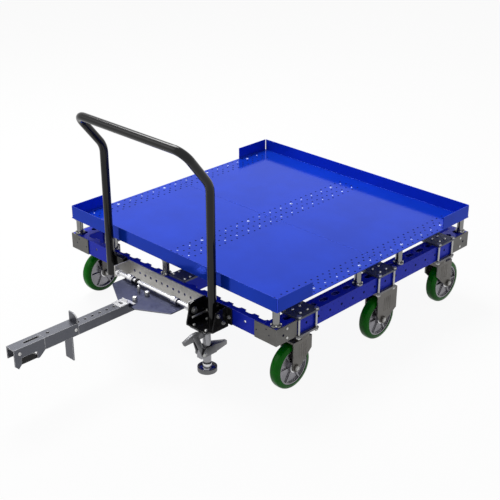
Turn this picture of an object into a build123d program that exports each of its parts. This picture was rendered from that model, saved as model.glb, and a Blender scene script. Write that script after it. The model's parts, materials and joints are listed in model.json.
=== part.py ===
from build123d import *
import os
from math import cos, radians, sin

# Six-wheeled tugger cart with a square deck, push handle, hinged tow bar and floor lock.
# Millimetres. X runs across the cart, the tow bar points along -Y, Z is up from the floor.

# Frame of perforated beams
frame_width = 1260.0
frame_length = 1260.0
corner_plate = 5.0
corner_arm = 115.0
beam_height = 70.0
beam_depth = 70.0
beam_wall = 4.0
slot_pitch = 70.0
slot_length = 44.0
slot_width = 24.0
centre_beam_x = 50.0
beam_eye = 11.0
beam_eye_inset = 95.0
beam_eye_drop = 29.0

# Clamp plates and their long bolts
clamp_width = 96.0
clamp_length = 118.0
clamp_thickness = 8.0
clamp_bolt = 10.0
clamp_bolt_head = 17.0
clamp_bolt_head_height = 6.0
clamp_bolt_tail = 10.0
bolt_hole_gap = 0.5
bolt_to_beam = 1.0
bolt_edge = 9.0
joint_plate_width = 92.0

# Wheels
wheel_diameter = 196.0
tread_width = 46.0
tread_thickness = 21.0
tread_face = 32.0
rim_width = 42.0
rim_thickness = 6.0
web_thickness = 26.0
rib_count = 6
rib_thickness = 6.0
rib_width = 38.0
boss_diameter = 48.0
boss_length = 54.0
axle_diameter = 16.0
axle_head = 26.0
axle_head_height = 8.0

# Caster forks
running_gap = 0.3
wheel_headroom = 8.0
fork_side_gap = 2.0
fork_plate = 6.0
fork_yoke = 8.0
fork_eye_radius = 18.0
trail = 54.0
swivel_fork_front = 70.0
swivel_fork_back = 35.0
swivel_fork_skirt = 56.0
fixed_fork_front = 38.0
fixed_fork_back = 88.0
fixed_fork_skirt = 100.0
fixed_boss_width = 56.0
fixed_boss_length = 70.0
fixed_boss_height = 11.0
dish_diameter = 80.0
dish_height = 16.0
race_diameter = 78.0
race_height = 7.7
front_caster_inset = 175.0
rear_caster_inset = 175.0
middle_caster_shift = 35.0

# Deck
deck_margin_x = 2.0
deck_margin_y = 6.0
deck_sheet = 3.0
deck_lip_height = 59.0
deck_return = 197.0
deck_seam = 1.0
deck_corner_relief = 2.0

# Deck posts
post_diameter = 29.0
post_height = 71.0
post_foot_diameter = 45.0
post_foot_height = 7.0
post_cap_diameter = 38.0
post_cap_height = 5.0
side_post_stations = [-122.0, 150.0]
cross_post_stations = [-363.0, -20.0]

# Push handle
handle_tube = 35.0
handle_half_span = 315.0
handle_standoff = 35.0
handle_post_top = 816.0
handle_lean = 38.0
handle_lean_length = 203.0
handle_elbow_radius = 90.0
handle_corner_radius = 52.0

# Handle brackets
bracket_plate = 6.0
bracket_back_width = 150.0
bracket_shelf_width = 126.0
bracket_depth = 108.0
bracket_rise = 8.0
bracket_drop = 16.0
bracket_nose = 40.0
bracket_flank_setback = 24.0
bracket_corner_cut = 40.0
bracket_post_inset = 73.0
bracket_clamp_height = 50.0
bracket_clamp_margin = 11.0

# Tow bar hinge
hinge_plate = 6.0
hinge_to_bracket = 10.0
hinge_ear_reach = 83.0
hinge_ear_drop = 62.0
shaft_diameter = 18.0
shaft_reach = 69.0
shaft_drop = 32.0
shaft_overhang = 6.0
shaft_collar_diameter = 30.0
shaft_collar_length = 14.0

# Tow plate
tow_sheet = 5.0
tow_plate_drop = 15.5
tow_plate_to_ear = 48.0
tow_plate_nose_half_width = 52.0
tow_plate_back = 16.0
tow_plate_shoulder = 66.0
tow_plate_length = 141.0
tow_plate_corner = 8.0
knuckle_inset = 47.0
knuckle_length = 30.0
knuckle_diameter = 28.0

# Tow bar
bar_width = 50.0
bar_height = 39.0
bar_wall = 4.0
bar_length = 250.0
bar_tongue = 130.0
bar_tongue_height = 19.0
bar_hole = 12.0
bar_hole_pitch = 35.0
bar_hole_setback = 22.5
head_length = 290.0
head_height = 50.0
head_wall = 5.0
head_slot_length = 70.0
head_slot_width = 12.0
head_slot_setback = 93.0
head_hole = 14.0
head_hole_setback = 166.0
jaw_length = 135.0
hook_width = 29.0
hook_depth = 34.0
hook_heel = 19.0
mouth_length = 70.0
mouth_rise = 8.0
heel_depth = 23.0
heel_flat = 9.0
latch_gap = 0.3
latch_nose = 18.0
latch_tail = 8.0
latch_rise = 14.0
strap_length = 48.0
strap_slope = 20.0
strap_foot = 14.0
strap_sheet = 3.0
strap_slot_length = 22.0
strap_tab_width = 30.0
strap_tab_height = 10.0
lever_plate = 5.0
lever_drop = 102.0
lever_setback = 28.0
lever_tab_height = 37.0
lever_tab_radius = 25.0

# Floor lock
lock_setback = 52.0
lock_flange = 92.0
lock_flange_thickness = 6.0
lock_column_diameter = 34.0
lock_column_length = 152.0
lock_plunger_diameter = 24.0
lock_plunger_length = 130.0
lock_collar_width = 26.0
lock_collar_height = 36.0
lock_collar_rise = 28.0
lock_pin_diameter = 10.0
lock_pin_height = 20.0
lock_pin_forward = 32.0
lock_pad_diameter = 80.0
lock_pad_thickness = 18.0
lock_pad_hollow = 12.0
lock_pad_hollow_diameter = 66.0
lock_boss_diameter = 34.0
lock_boss_height = 17.0
lock_lift = 27.0
pedal_wall = 5.0
pedal_height = 18.0
front_pedal_length = 50.0
front_pedal_fall = 19.0
front_pedal_forward = 77.0
strut_width = 20.0
link_thickness = 8.0
link_drop = 40.0
rear_pedal_width = 44.0
rear_pedal_length = 88.0
rear_pedal_root = 16.0
rear_pedal_neck = 29.0

# Heights, from the floor up
wheel_radius = wheel_diameter / 2
yoke_bottom = wheel_diameter + wheel_headroom
yoke_top = yoke_bottom + fork_yoke
dish_top = yoke_top + dish_height
base_plate_bottom = dish_top + running_gap + race_height
frame_bottom = base_plate_bottom + clamp_thickness
frame_top = frame_bottom + beam_height
deck_bottom = frame_top + post_height

# Faces and centre lines of the frame
face_x = frame_width / 2 - corner_plate
face_y = frame_length / 2 - corner_plate
half_depth = beam_depth / 2
side_beam_x = face_x - half_depth
cross_beam_half_length = face_x - beam_depth
beam_eye_x = cross_beam_half_length - beam_eye_inset
bolt_dx = half_depth + bolt_to_beam + clamp_bolt / 2
bolt_dy = clamp_length / 2 - bolt_edge
fork_inner = boss_length / 2 + fork_side_gap
fork_outer = fork_inner + fork_plate

# Widths that follow the handle's span
bracket_inner_x = handle_half_span - bracket_post_inset
hinge_half_width = bracket_inner_x - hinge_to_bracket
tow_plate_half_width = hinge_half_width - tow_plate_to_ear
knuckle_x = tow_plate_half_width - knuckle_inset

# Tow bar lines
shaft_y = -face_y - shaft_reach
shaft_height = frame_top - shaft_drop
tow_top = shaft_height - tow_plate_drop
bar_bottom = tow_top - tow_sheet - bar_tongue_height
bar_top = bar_bottom + bar_height
bar_back_y = shaft_y - tow_plate_length - tow_sheet
bar_front_y = bar_back_y - bar_length
head_front_y = bar_front_y - head_length
head_top = bar_bottom + head_height

# Handle and lock lines
handle_y = -face_y - handle_standoff
shelf_bottom = frame_bottom - bracket_drop
shelf_top = shelf_bottom + bracket_plate
bracket_top = frame_top + bracket_rise
bracket_front_y = -face_y - bracket_depth
lock_x = bracket_inner_x + bracket_shelf_width / 2
lock_y = -face_y - lock_setback - bracket_plate
column_top = shelf_bottom - lock_flange_thickness
column_bottom = column_top - lock_column_length

# Casters: name, side of the cart, station along Y, direction of trail
front_caster_y = front_caster_inset - frame_length / 2
rear_caster_y = frame_length / 2 - rear_caster_inset
swivel_casters = [
    ("front_left", -1, front_caster_y, -1),
    ("front_right", 1, front_caster_y, -1),
    ("rear_left", -1, rear_caster_y, 1),
    ("rear_right", 1, rear_caster_y, 1),
]
# Fixed casters: name, side of the cart
fixed_casters = [("middle_left", -1), ("middle_right", 1)]
swivel_spots = [(side * side_beam_x, y) for name, side, y, way in swivel_casters]
fixed_spots = [(side * side_beam_x, middle_caster_shift) for name, side in fixed_casters]
caster_spots = swivel_spots + fixed_spots

# The row origin is under the middle of the whole length, tow bar included
overall_back = frame_length / 2
origin_shift = Location((0, -(head_front_y + overall_back) / 2, 0))


def deliver(piece: Part, node: str) -> None:
    """Label a finished piece, set it on the common origin and write it."""
    placed = piece.moved(origin_shift)
    placed.label = node
    export_step(placed, f"parts/{node}.step")


def upright(x: float, y: float, way: int) -> Plane:
    """Plane across a wheel: its x runs along +Y or -Y by way, its y is up."""
    return Plane(origin=(x, y, 0), x_dir=(0, way, 0), z_dir=(way, 0, 0))


def slot_stations(length: float) -> list:
    """Centres of the beam slots that fit along a length."""
    count = int((length - slot_length) // slot_pitch) + 1
    return [(i - (count - 1) / 2) * slot_pitch for i in range(count)]


os.makedirs("parts", exist_ok=True)


# Side and centre beams: square tubes with a row of slots above and below
def long_beam(x: float, half_length: float) -> Part:
    """Square perforated beam along Y at a given x."""
    with BuildPart() as beam:
        with BuildSketch(Plane.XZ.offset(-half_length)):
            with Locations((x, frame_bottom + beam_height / 2)):
                Rectangle(beam_depth, beam_height)
                Rectangle(beam_depth - 2 * beam_wall, beam_height - 2 * beam_wall, mode=Mode.SUBTRACT)
        extrude(amount=2 * half_length)
        with BuildSketch(Plane.XY.offset(frame_bottom)):
            with Locations(*[(x, y) for y in slot_stations(2 * half_length)]):
                SlotOverall(slot_length, slot_width, rotation=90)
        extrude(amount=beam_height, mode=Mode.SUBTRACT)
    return beam.part


side_beam_half = face_y
centre_beam_half = face_y - half_depth
for node, x, half_length in (
    ("left_beam", -side_beam_x, side_beam_half),
    ("right_beam", side_beam_x, side_beam_half),
    ("centre_beam", centre_beam_x, centre_beam_half),
):
    deliver(long_beam(x, half_length), node)


# Front and rear beams: half-depth channels, open inwards, with half slots along the flange edges
def cross_beam(end: int) -> Part:
    """Channel beam along X at the front (-1) or the rear (1)."""
    outer = end * face_y
    inner = end * (face_y - half_depth)
    web = end * (face_y - beam_wall)
    with BuildPart() as beam:
        with BuildSketch(Plane.YZ.offset(-cross_beam_half_length)):
            with BuildLine():
                Polyline(
                    (inner, frame_bottom),
                    (outer, frame_bottom),
                    (outer, frame_top),
                    (inner, frame_top),
                    (inner, frame_top - beam_wall),
                    (web, frame_top - beam_wall),
                    (web, frame_bottom + beam_wall),
                    (inner, frame_bottom + beam_wall),
                    close=True,
                )
            make_face()
        extrude(amount=2 * cross_beam_half_length)
        with BuildSketch(Plane.XY.offset(frame_bottom)):
            with Locations(*[(x, inner) for x in slot_stations(2 * cross_beam_half_length)]):
                SlotOverall(slot_length, slot_width)
        extrude(amount=beam_height, mode=Mode.SUBTRACT)
        with BuildSketch(Plane.XZ.offset(-outer)):
            with Locations(*[(side * beam_eye_x, frame_top - beam_eye_drop) for side in (-1, 1)]):
                Circle(beam_eye / 2)
        extrude(amount=beam_wall, both=True, mode=Mode.SUBTRACT)
    return beam.part


deliver(cross_beam(-1), "front_beam")
deliver(cross_beam(1), "rear_beam")

# Corner brackets: one angle plate round each corner of the frame
with BuildPart() as corner_brackets:
    with BuildSketch(Plane.XY.offset(frame_bottom)):
        for side_x in (-1, 1):
            for side_y in (-1, 1):
                corner = (side_x * frame_width / 2, side_y * frame_length / 2)
                with BuildLine():
                    Polyline(
                        corner,
                        (corner[0] - side_x * corner_arm, corner[1]),
                        (corner[0] - side_x * corner_arm, corner[1] - side_y * corner_plate),
                        (corner[0] - side_x * corner_plate, corner[1] - side_y * corner_plate),
                        (corner[0] - side_x * corner_plate, corner[1] - side_y * corner_arm),
                        (corner[0], corner[1] - side_y * corner_arm),
                        close=True,
                    )
                make_face()
    extrude(amount=beam_height)
deliver(corner_brackets.part, "corner_brackets")

# Plates that tie the centre beam to the front and rear beams
with BuildPart() as joint_plates:
    joint_plate_y = face_y - half_depth / 2 - clamp_length / 2
    with BuildSketch(Plane.XY.offset(frame_top)):
        with Locations((centre_beam_x, -joint_plate_y), (centre_beam_x, joint_plate_y)):
            Rectangle(joint_plate_width, clamp_length)
    extrude(amount=clamp_thickness)
deliver(joint_plates.part, "joint_plates")

# Caster clamps: a plate on the beam, a plate under it and four long bolts
with BuildPart() as caster_top_plates:
    with BuildSketch(Plane.XY.offset(frame_top)):
        with Locations(*caster_spots):
            Rectangle(clamp_width, clamp_length)
            with GridLocations(2 * bolt_dx, 2 * bolt_dy, 2, 2):
                Circle(clamp_bolt / 2 + bolt_hole_gap, mode=Mode.SUBTRACT)
    extrude(amount=clamp_thickness)
deliver(caster_top_plates.part, "caster_top_plates")

with BuildPart() as caster_base_plates:
    with BuildSketch(Plane.XY.offset(base_plate_bottom)):
        with Locations(*caster_spots):
            Rectangle(clamp_width, clamp_length)
            with GridLocations(2 * bolt_dx, 2 * bolt_dy, 2, 2):
                Circle(clamp_bolt / 2 + bolt_hole_gap, mode=Mode.SUBTRACT)
    extrude(amount=clamp_thickness)
    with BuildSketch(Plane.XY.offset(base_plate_bottom)):
        with Locations(*swivel_spots):
            Circle(race_diameter / 2)
    extrude(amount=-race_height)
deliver(caster_base_plates.part, "caster_base_plates")

with BuildPart() as clamp_bolts:
    clamp_top = frame_top + clamp_thickness
    with BuildSketch(Plane.XY.offset(base_plate_bottom - clamp_bolt_tail)):
        with Locations(*caster_spots):
            with GridLocations(2 * bolt_dx, 2 * bolt_dy, 2, 2):
                Circle(clamp_bolt / 2)
    extrude(amount=clamp_top - base_plate_bottom + clamp_bolt_tail)
    with BuildSketch(Plane.XY.offset(clamp_top)):
        with Locations(*caster_spots):
            with GridLocations(2 * bolt_dx, 2 * bolt_dy, 2, 2):
                RegularPolygon(clamp_bolt_head / 2, 6, major_radius=False)
    extrude(amount=clamp_bolt_head_height)
    with BuildSketch(Plane.XY.offset(base_plate_bottom)):
        with Locations(*caster_spots):
            with GridLocations(2 * bolt_dx, 2 * bolt_dy, 2, 2):
                RegularPolygon(clamp_bolt_head / 2, 6, major_radius=False)
    extrude(amount=-clamp_bolt_head_height)
deliver(clamp_bolts.part, "clamp_bolts")


# Casters: swivel forks trail behind their pin, fixed forks stand over their axle
def swivel_fork(x: float, y: float, way: int) -> Part:
    """Fork with a bearing dish, its legs reaching down to a trailing axle."""
    across = upright(x, y, way)
    length = swivel_fork_front + swivel_fork_back
    middle = (swivel_fork_front - swivel_fork_back) / 2
    with BuildPart() as fork:
        for side in (-1, 1):
            with BuildSketch(across.offset(side * fork_inner)):
                with Locations((trail, wheel_radius)):
                    Circle(fork_eye_radius)
                with Locations((middle, yoke_top)):
                    Rectangle(length, swivel_fork_skirt, align=(Align.CENTER, Align.MAX))
                make_hull()
                with Locations((trail, wheel_radius)):
                    Circle(axle_diameter / 2 + running_gap, mode=Mode.SUBTRACT)
            extrude(amount=side * fork_plate)
        with BuildSketch(across.offset(-fork_outer)):
            with Locations((middle, yoke_top)):
                Rectangle(length, fork_yoke, align=(Align.CENTER, Align.MAX))
        extrude(amount=2 * fork_outer)
        with BuildSketch(Plane(origin=(x, y, yoke_top))):
            Circle(dish_diameter / 2)
        extrude(amount=dish_height)
    return fork.part


def fixed_fork(x: float, y: float) -> Part:
    """Fork with deep legs, bolted under its clamp on a square boss."""
    across = upright(x, y, 1)
    top = base_plate_bottom - fixed_boss_height
    length = fixed_fork_front + fixed_fork_back
    middle = (fixed_fork_back - fixed_fork_front) / 2
    with BuildPart() as fork:
        for side in (-1, 1):
            with BuildSketch(across.offset(side * fork_inner)):
                with Locations((0, wheel_radius)):
                    Circle(fork_eye_radius)
                with Locations((middle, top)):
                    Rectangle(length, fixed_fork_skirt, align=(Align.CENTER, Align.MAX))
                make_hull()
                with Locations((0, wheel_radius)):
                    Circle(axle_diameter / 2 + running_gap, mode=Mode.SUBTRACT)
            extrude(amount=side * fork_plate)
        with BuildSketch(across.offset(-fork_outer)):
            with Locations((middle, top)):
                Rectangle(length, fork_yoke, align=(Align.CENTER, Align.MAX))
        extrude(amount=2 * fork_outer)
        with BuildSketch(Plane(origin=(x, y, top))):
            Rectangle(fixed_boss_width, fixed_boss_length)
        extrude(amount=fixed_boss_height)
    return fork.part


def axle(x: float, y: float) -> Part:
    """Axle bolt with a hexagon at each end."""
    across = upright(x, y, 1)
    with BuildPart() as bolt:
        with BuildSketch(across.offset(-fork_outer)):
            with Locations((0, wheel_radius)):
                Circle(axle_diameter / 2)
        extrude(amount=2 * fork_outer)
        for side in (-1, 1):
            with BuildSketch(across.offset(side * fork_outer)):
                with Locations((0, wheel_radius)):
                    RegularPolygon(axle_head / 2, 6, major_radius=False)
            extrude(amount=side * axle_head_height)
    return bolt.part


# Wheels: a polyurethane tread on a ribbed cast centre
tread_inner = wheel_radius - tread_thickness
rim_inner = tread_inner - rim_thickness


def tyre(x: float, y: float) -> Part:
    """Tread ring that narrows from the rim to its running face."""
    with BuildPart() as tread:
        with BuildSketch(Plane(origin=(x, y, wheel_radius), x_dir=(1, 0, 0), z_dir=(0, -1, 0))):
            with BuildLine():
                Polyline(
                    (-tread_width / 2, tread_inner),
                    (tread_width / 2, tread_inner),
                    (tread_face / 2, wheel_radius),
                    (-tread_face / 2, wheel_radius),
                    close=True,
                )
            make_face()
        revolve(axis=Axis((x, y, wheel_radius), (1, 0, 0)))
    return tread.part


def hub(x: float, y: float) -> Part:
    """Cast wheel centre: rim, web with ribs, and a bored boss."""
    across = upright(x, y, 1)
    # Rings of the casting: outer radius, inner radius, width
    rings = [
        (tread_inner, rim_inner, rim_width),
        (rim_inner, boss_diameter / 2, web_thickness),
        (boss_diameter / 2, axle_diameter / 2 + running_gap, boss_length),
    ]
    with BuildPart() as casting:
        for outer, inner, width in rings:
            with BuildSketch(across.offset(-width / 2)):
                with Locations((0, wheel_radius)):
                    Circle(outer)
                    Circle(inner, mode=Mode.SUBTRACT)
            extrude(amount=width)
        with BuildSketch(across.offset(-rib_width / 2)):
            with Locations((0, wheel_radius)):
                with PolarLocations((rim_inner + boss_diameter / 2) / 2, rib_count):
                    Rectangle(rim_inner - boss_diameter / 2 + rib_thickness, rib_thickness)
                Circle(boss_diameter / 2 - rib_thickness / 2, mode=Mode.SUBTRACT)
        extrude(amount=rib_width)
    return casting.part


for name, side, y, way in swivel_casters:
    x = side * side_beam_x
    axle_y = y + way * trail
    deliver(swivel_fork(x, y, way), f"swivel_fork_{name}")
    deliver(axle(x, axle_y), f"axle_{name}")
    deliver(tyre(x, axle_y), f"tyre_{name}")
    deliver(hub(x, axle_y), f"hub_{name}")

for name, side in fixed_casters:
    x = side * side_beam_x
    deliver(fixed_fork(x, middle_caster_shift), f"fixed_fork_{name}")
    deliver(axle(x, middle_caster_shift), f"axle_{name}")
    deliver(tyre(x, middle_caster_shift), f"tyre_{name}")
    deliver(hub(x, middle_caster_shift), f"hub_{name}")


# Deck halves: one sheet each, with an upstanding lip that returns round the corners
def deck_half(end: int) -> Part:
    """Front (-1) or rear (1) half of the deck."""
    half_width = frame_width / 2 - deck_margin_x
    outer = end * (frame_length / 2 - deck_margin_y)
    seam = end * deck_seam / 2
    with BuildPart() as half:
        with BuildSketch(Plane.XY.offset(deck_bottom)):
            with Locations((0, (outer + seam) / 2)):
                Rectangle(2 * half_width, abs(outer - seam))
        extrude(amount=deck_sheet)
        with BuildSketch(Plane.XY.offset(deck_bottom)):
            with Locations((0, outer - end * deck_return / 2)):
                Rectangle(2 * half_width, deck_return)
            with Locations((0, outer - end * (deck_return + deck_sheet) / 2)):
                Rectangle(2 * half_width - 2 * deck_sheet, deck_return - deck_sheet, mode=Mode.SUBTRACT)
            with Locations((0, outer - end * deck_return)):
                Rectangle(2 * half_width - 2 * deck_sheet, deck_sheet, mode=Mode.SUBTRACT)
        extrude(amount=deck_lip_height)
        relief = deck_sheet + deck_corner_relief
        with BuildSketch(Plane.XY.offset(deck_bottom + deck_sheet)):
            with Locations((-half_width, outer), (half_width, outer)):
                Rectangle(2 * relief, 2 * relief)
        extrude(amount=deck_lip_height, mode=Mode.SUBTRACT)
    return half.part


deliver(deck_half(-1), "deck_front")
deliver(deck_half(1), "deck_rear")

# Deck posts: turned pillars with a flanged foot, along the outer half of the beams
post_x = face_x - post_foot_diameter / 2
post_y = face_y - post_foot_diameter / 2
post_spots = [(sx * post_x, sy * post_y) for sx in (-1, 1) for sy in (-1, 1)]
post_spots += [(sx * post_x, y) for sx in (-1, 1) for y in side_post_stations]
post_spots += [(x, sy * post_y) for x in cross_post_stations for sy in (-1, 1)]
with BuildPart() as deck_posts:
    # Steps of the pillar: radius, height above the beam, length
    for radius, start, length in (
        (post_foot_diameter / 2, 0, post_foot_height),
        (post_diameter / 2, post_foot_height, post_height - post_foot_height - post_cap_height),
        (post_cap_diameter / 2, post_height - post_cap_height, post_cap_height),
    ):
        with BuildSketch(Plane.XY.offset(frame_top + start)):
            with Locations(*post_spots):
                Circle(radius)
        extrude(amount=length)
deliver(deck_posts.part, "deck_posts")

# Push handle: one bent tube, its top leaning forward over the tow bar
lean_y = handle_y - handle_lean_length * sin(radians(handle_lean))
lean_z = handle_post_top + handle_lean_length * cos(radians(handle_lean))
with BuildPart() as handle:
    with BuildLine() as handle_line:
        FilletPolyline(
            (-handle_half_span, handle_y, shelf_top),
            (-handle_half_span, handle_y, handle_post_top),
            (-handle_half_span, lean_y, lean_z),
            (handle_half_span, lean_y, lean_z),
            (handle_half_span, handle_y, handle_post_top),
            (handle_half_span, handle_y, shelf_top),
            radius=[handle_elbow_radius, handle_corner_radius, handle_corner_radius, handle_elbow_radius],
        )
    with BuildSketch(Plane(origin=handle_line.line @ 0, z_dir=handle_line.line % 0)):
        Circle(handle_tube / 2)
    sweep()
deliver(handle.part, "handle")

# Right handle bracket: an open tray between two gussets, whose floor carries the handle's foot and the lock
bracket_back_y = -face_y - bracket_plate
bracket_roof_y = bracket_front_y + bracket_nose
bracket_flank_y = bracket_front_y + bracket_flank_setback
bracket_outer_x = bracket_inner_x + bracket_shelf_width
# Gussets: inner face, front edge, top edge
gussets = [
    (bracket_inner_x, bracket_front_y, bracket_top),
    (bracket_outer_x - bracket_plate, bracket_flank_y, frame_top),
]
with BuildPart() as bracket_right:
    with BuildSketch(Plane.XZ.offset(face_y)):
        with Locations((bracket_inner_x, frame_bottom)):
            Rectangle(bracket_back_width, beam_height, align=Align.MIN)
        with Locations((bracket_inner_x, shelf_bottom)):
            Rectangle(bracket_shelf_width, bracket_drop, align=Align.MIN)
    extrude(amount=bracket_plate)
    for x, front, top in gussets:
        with BuildSketch(Plane.YZ.offset(x)):
            with BuildLine():
                Polyline(
                    (bracket_back_y, shelf_bottom),
                    (front, shelf_bottom),
                    (front, shelf_top + bracket_plate),
                    (front + bracket_nose / 2, top - bracket_plate),
                    (front + bracket_nose, top),
                    (bracket_back_y, top),
                    close=True,
                )
            make_face()
        extrude(amount=bracket_plate)
    with BuildSketch(Plane.XY.offset(shelf_bottom)):
        with BuildLine():
            Polyline(
                (bracket_inner_x, bracket_back_y),
                (bracket_inner_x, bracket_front_y),
                (bracket_outer_x - bracket_corner_cut, bracket_front_y),
                (bracket_outer_x, bracket_flank_y),
                (bracket_outer_x, bracket_back_y),
                close=True,
            )
        make_face()
    extrude(amount=bracket_plate)
deliver(bracket_right.part, "handle_bracket_right")

# Left handle bracket: a back plate, a gusset and a clamp block round the post
clamp_side = handle_tube + 2 * bracket_clamp_margin
with BuildPart() as bracket_left:
    with BuildSketch(Plane.XZ.offset(face_y)):
        with Locations((-bracket_inner_x, shelf_bottom)):
            Rectangle(
                bracket_back_width, bracket_top - shelf_bottom, align=(Align.MAX, Align.MIN)
            )
    extrude(amount=bracket_plate)
    with BuildSketch(Plane.YZ.offset(-bracket_inner_x)):
        with BuildLine():
            Polyline(
                (bracket_back_y, frame_bottom),
                (bracket_roof_y, bracket_top - bracket_clamp_height),
                (bracket_roof_y, bracket_top),
                (bracket_back_y, bracket_top),
                close=True,
            )
        make_face()
    extrude(amount=-bracket_plate)
    with BuildSketch(Plane.XY.offset(bracket_top)):
        with Locations((-bracket_inner_x, bracket_back_y)):
            Rectangle(
                handle_half_span - bracket_inner_x + clamp_side / 2,
                bracket_back_y - handle_y + clamp_side / 2,
                align=Align.MAX,
            )
        with Locations((-handle_half_span, handle_y)):
            Circle(handle_tube / 2 + running_gap, mode=Mode.SUBTRACT)
    extrude(amount=-bracket_clamp_height)
    with BuildSketch(Plane.XY.offset(shelf_bottom)):
        with Locations((-handle_half_span, bracket_back_y)):
            Rectangle(clamp_side, bracket_back_y - handle_y + clamp_side / 2, align=(Align.CENTER, Align.MAX))
    extrude(amount=bracket_plate)
deliver(bracket_left.part, "handle_bracket_left")

# Tow bar hinge: a perforated back plate with an ear at each end, and its shaft
with BuildPart() as hinge_bracket:
    hinge_back_y = -face_y - hinge_plate
    with BuildSketch(Plane.XZ.offset(face_y)):
        with Locations((0, frame_bottom)):
            Rectangle(2 * hinge_half_width, beam_height, align=(Align.CENTER, Align.MIN))
        hole_count = int((2 * hinge_half_width - bar_hole_pitch) // bar_hole_pitch)
        with Locations((0, frame_bottom + beam_height / 2)):
            with GridLocations(bar_hole_pitch, 1, hole_count, 1):
                Circle(bar_hole / 2, mode=Mode.SUBTRACT)
    extrude(amount=hinge_plate)
    for side in (-1, 1):
        with BuildSketch(Plane.YZ.offset(side * hinge_half_width)):
            with BuildLine():
                Polyline(
                    (hinge_back_y, frame_top),
                    (-face_y - hinge_ear_reach, frame_top),
                    (-face_y - hinge_ear_reach, shaft_height - shaft_diameter),
                    (hinge_back_y, frame_top - hinge_ear_drop),
                    close=True,
                )
            make_face()
            with Locations((shaft_y, shaft_height)):
                Circle(shaft_diameter / 2 + running_gap, mode=Mode.SUBTRACT)
        extrude(amount=-side * hinge_plate)
deliver(hinge_bracket.part, "hinge_bracket")

with BuildPart() as hinge_shaft:
    shaft_half = hinge_half_width + shaft_overhang
    with BuildSketch(Plane.YZ.offset(-shaft_half)):
        with Locations((shaft_y, shaft_height)):
            Circle(shaft_diameter / 2)
    extrude(amount=2 * shaft_half)
    for side in (-1, 1):
        with BuildSketch(Plane.YZ.offset(side * (hinge_half_width - hinge_plate))):
            with Locations((shaft_y, shaft_height)):
                Circle(shaft_collar_diameter / 2)
        extrude(amount=-side * shaft_collar_length)
deliver(hinge_shaft.part, "hinge_shaft")

# Tow plate: a cut plate that narrows to the bar, hung on two knuckles
plate_back_y = shaft_y + tow_plate_back
plate_shoulder_y = shaft_y - tow_plate_shoulder
plate_nose_y = shaft_y - tow_plate_length
with BuildPart() as tow_plate:
    with BuildSketch(Plane.XY.offset(tow_top)):
        with BuildLine():
            Polyline(
                (-tow_plate_half_width, plate_back_y),
                (tow_plate_half_width, plate_back_y),
                (tow_plate_half_width, plate_shoulder_y),
                (tow_plate_nose_half_width, plate_nose_y),
                (-tow_plate_nose_half_width, plate_nose_y),
                (-tow_plate_half_width, plate_shoulder_y),
                close=True,
            )
        outline = make_face()
        fillet(outline.vertices(), tow_plate_corner)
    extrude(amount=-tow_sheet)
    for side in (-1, 1):
        with BuildSketch(Plane.YZ.offset(side * knuckle_x - knuckle_length / 2)):
            with Locations((shaft_y, shaft_height)):
                Circle(knuckle_diameter / 2)
            with Locations((shaft_y, tow_top - tow_sheet)):
                Rectangle(
                    knuckle_diameter, shaft_height - tow_top + tow_sheet, align=(Align.CENTER, Align.MIN)
                )
            with Locations((shaft_y, shaft_height)):
                Circle(shaft_diameter / 2 + running_gap, mode=Mode.SUBTRACT)
        extrude(amount=knuckle_length)
deliver(tow_plate.part, "tow_plate")

# Tow tube: perforated on top, its tongue notched to run under the tow plate
tongue_back_y = bar_back_y + bar_tongue
last_hole_y = bar_back_y - bar_hole_setback
bar_hole_count = int((bar_length - bar_hole_setback) // bar_hole_pitch) + 1
with BuildPart() as tow_tube:
    with BuildSketch(Plane.XZ.offset(-tongue_back_y)):
        with Locations((0, bar_bottom)):
            Rectangle(bar_width, bar_height, align=(Align.CENTER, Align.MIN))
        with Locations((0, bar_bottom + bar_wall)):
            Rectangle(
                bar_width - 2 * bar_wall,
                bar_height - 2 * bar_wall,
                align=(Align.CENTER, Align.MIN),
                mode=Mode.SUBTRACT,
            )
    extrude(amount=bar_length + bar_tongue)
    with BuildSketch(Plane.XY.offset(bar_bottom + bar_tongue_height)):
        with Locations((0, bar_back_y)):
            Rectangle(bar_width, bar_tongue, align=(Align.CENTER, Align.MIN))
    extrude(amount=bar_height, mode=Mode.SUBTRACT)
    with BuildSketch(Plane.XY.offset(bar_top)):
        with Locations(*[(0, last_hole_y - i * bar_hole_pitch) for i in range(bar_hole_count)]):
            Circle(bar_hole / 2)
    extrude(amount=-bar_wall, mode=Mode.SUBTRACT)
deliver(tow_tube.part, "tow_tube")

# Strap: a sheet from the top of the tow tube down onto the tow plate, with a tab turned up
strap_back_y = bar_back_y
with BuildPart() as tow_strap:
    with BuildSketch(Plane.YZ.offset(-bar_width / 2)):
        with BuildLine():
            Polyline(
                (strap_back_y - strap_length, bar_top),
                (strap_back_y, bar_top),
                (strap_back_y + strap_slope, tow_top),
                (strap_back_y + strap_slope + strap_foot, tow_top),
                (strap_back_y + strap_slope + strap_foot, tow_top + strap_sheet),
                (strap_back_y + strap_slope + strap_sheet / 2, tow_top + strap_sheet),
                (strap_back_y + strap_sheet / 2, bar_top + strap_sheet),
                (strap_back_y - strap_length, bar_top + strap_sheet),
                close=True,
            )
        make_face()
    extrude(amount=bar_width)
    with BuildSketch(Plane.XY.offset(bar_top)):
        with Locations((0, last_hole_y)):
            SlotOverall(strap_slot_length, bar_hole)
    extrude(amount=strap_sheet, mode=Mode.SUBTRACT)
    with BuildSketch(Plane.XZ.offset(-strap_back_y)):
        with Locations((0, bar_top)):
            Rectangle(strap_tab_width, strap_sheet + strap_tab_height, align=(Align.CENTER, Align.MIN))
    extrude(amount=strap_sheet)
deliver(tow_strap.part, "tow_strap")

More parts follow.
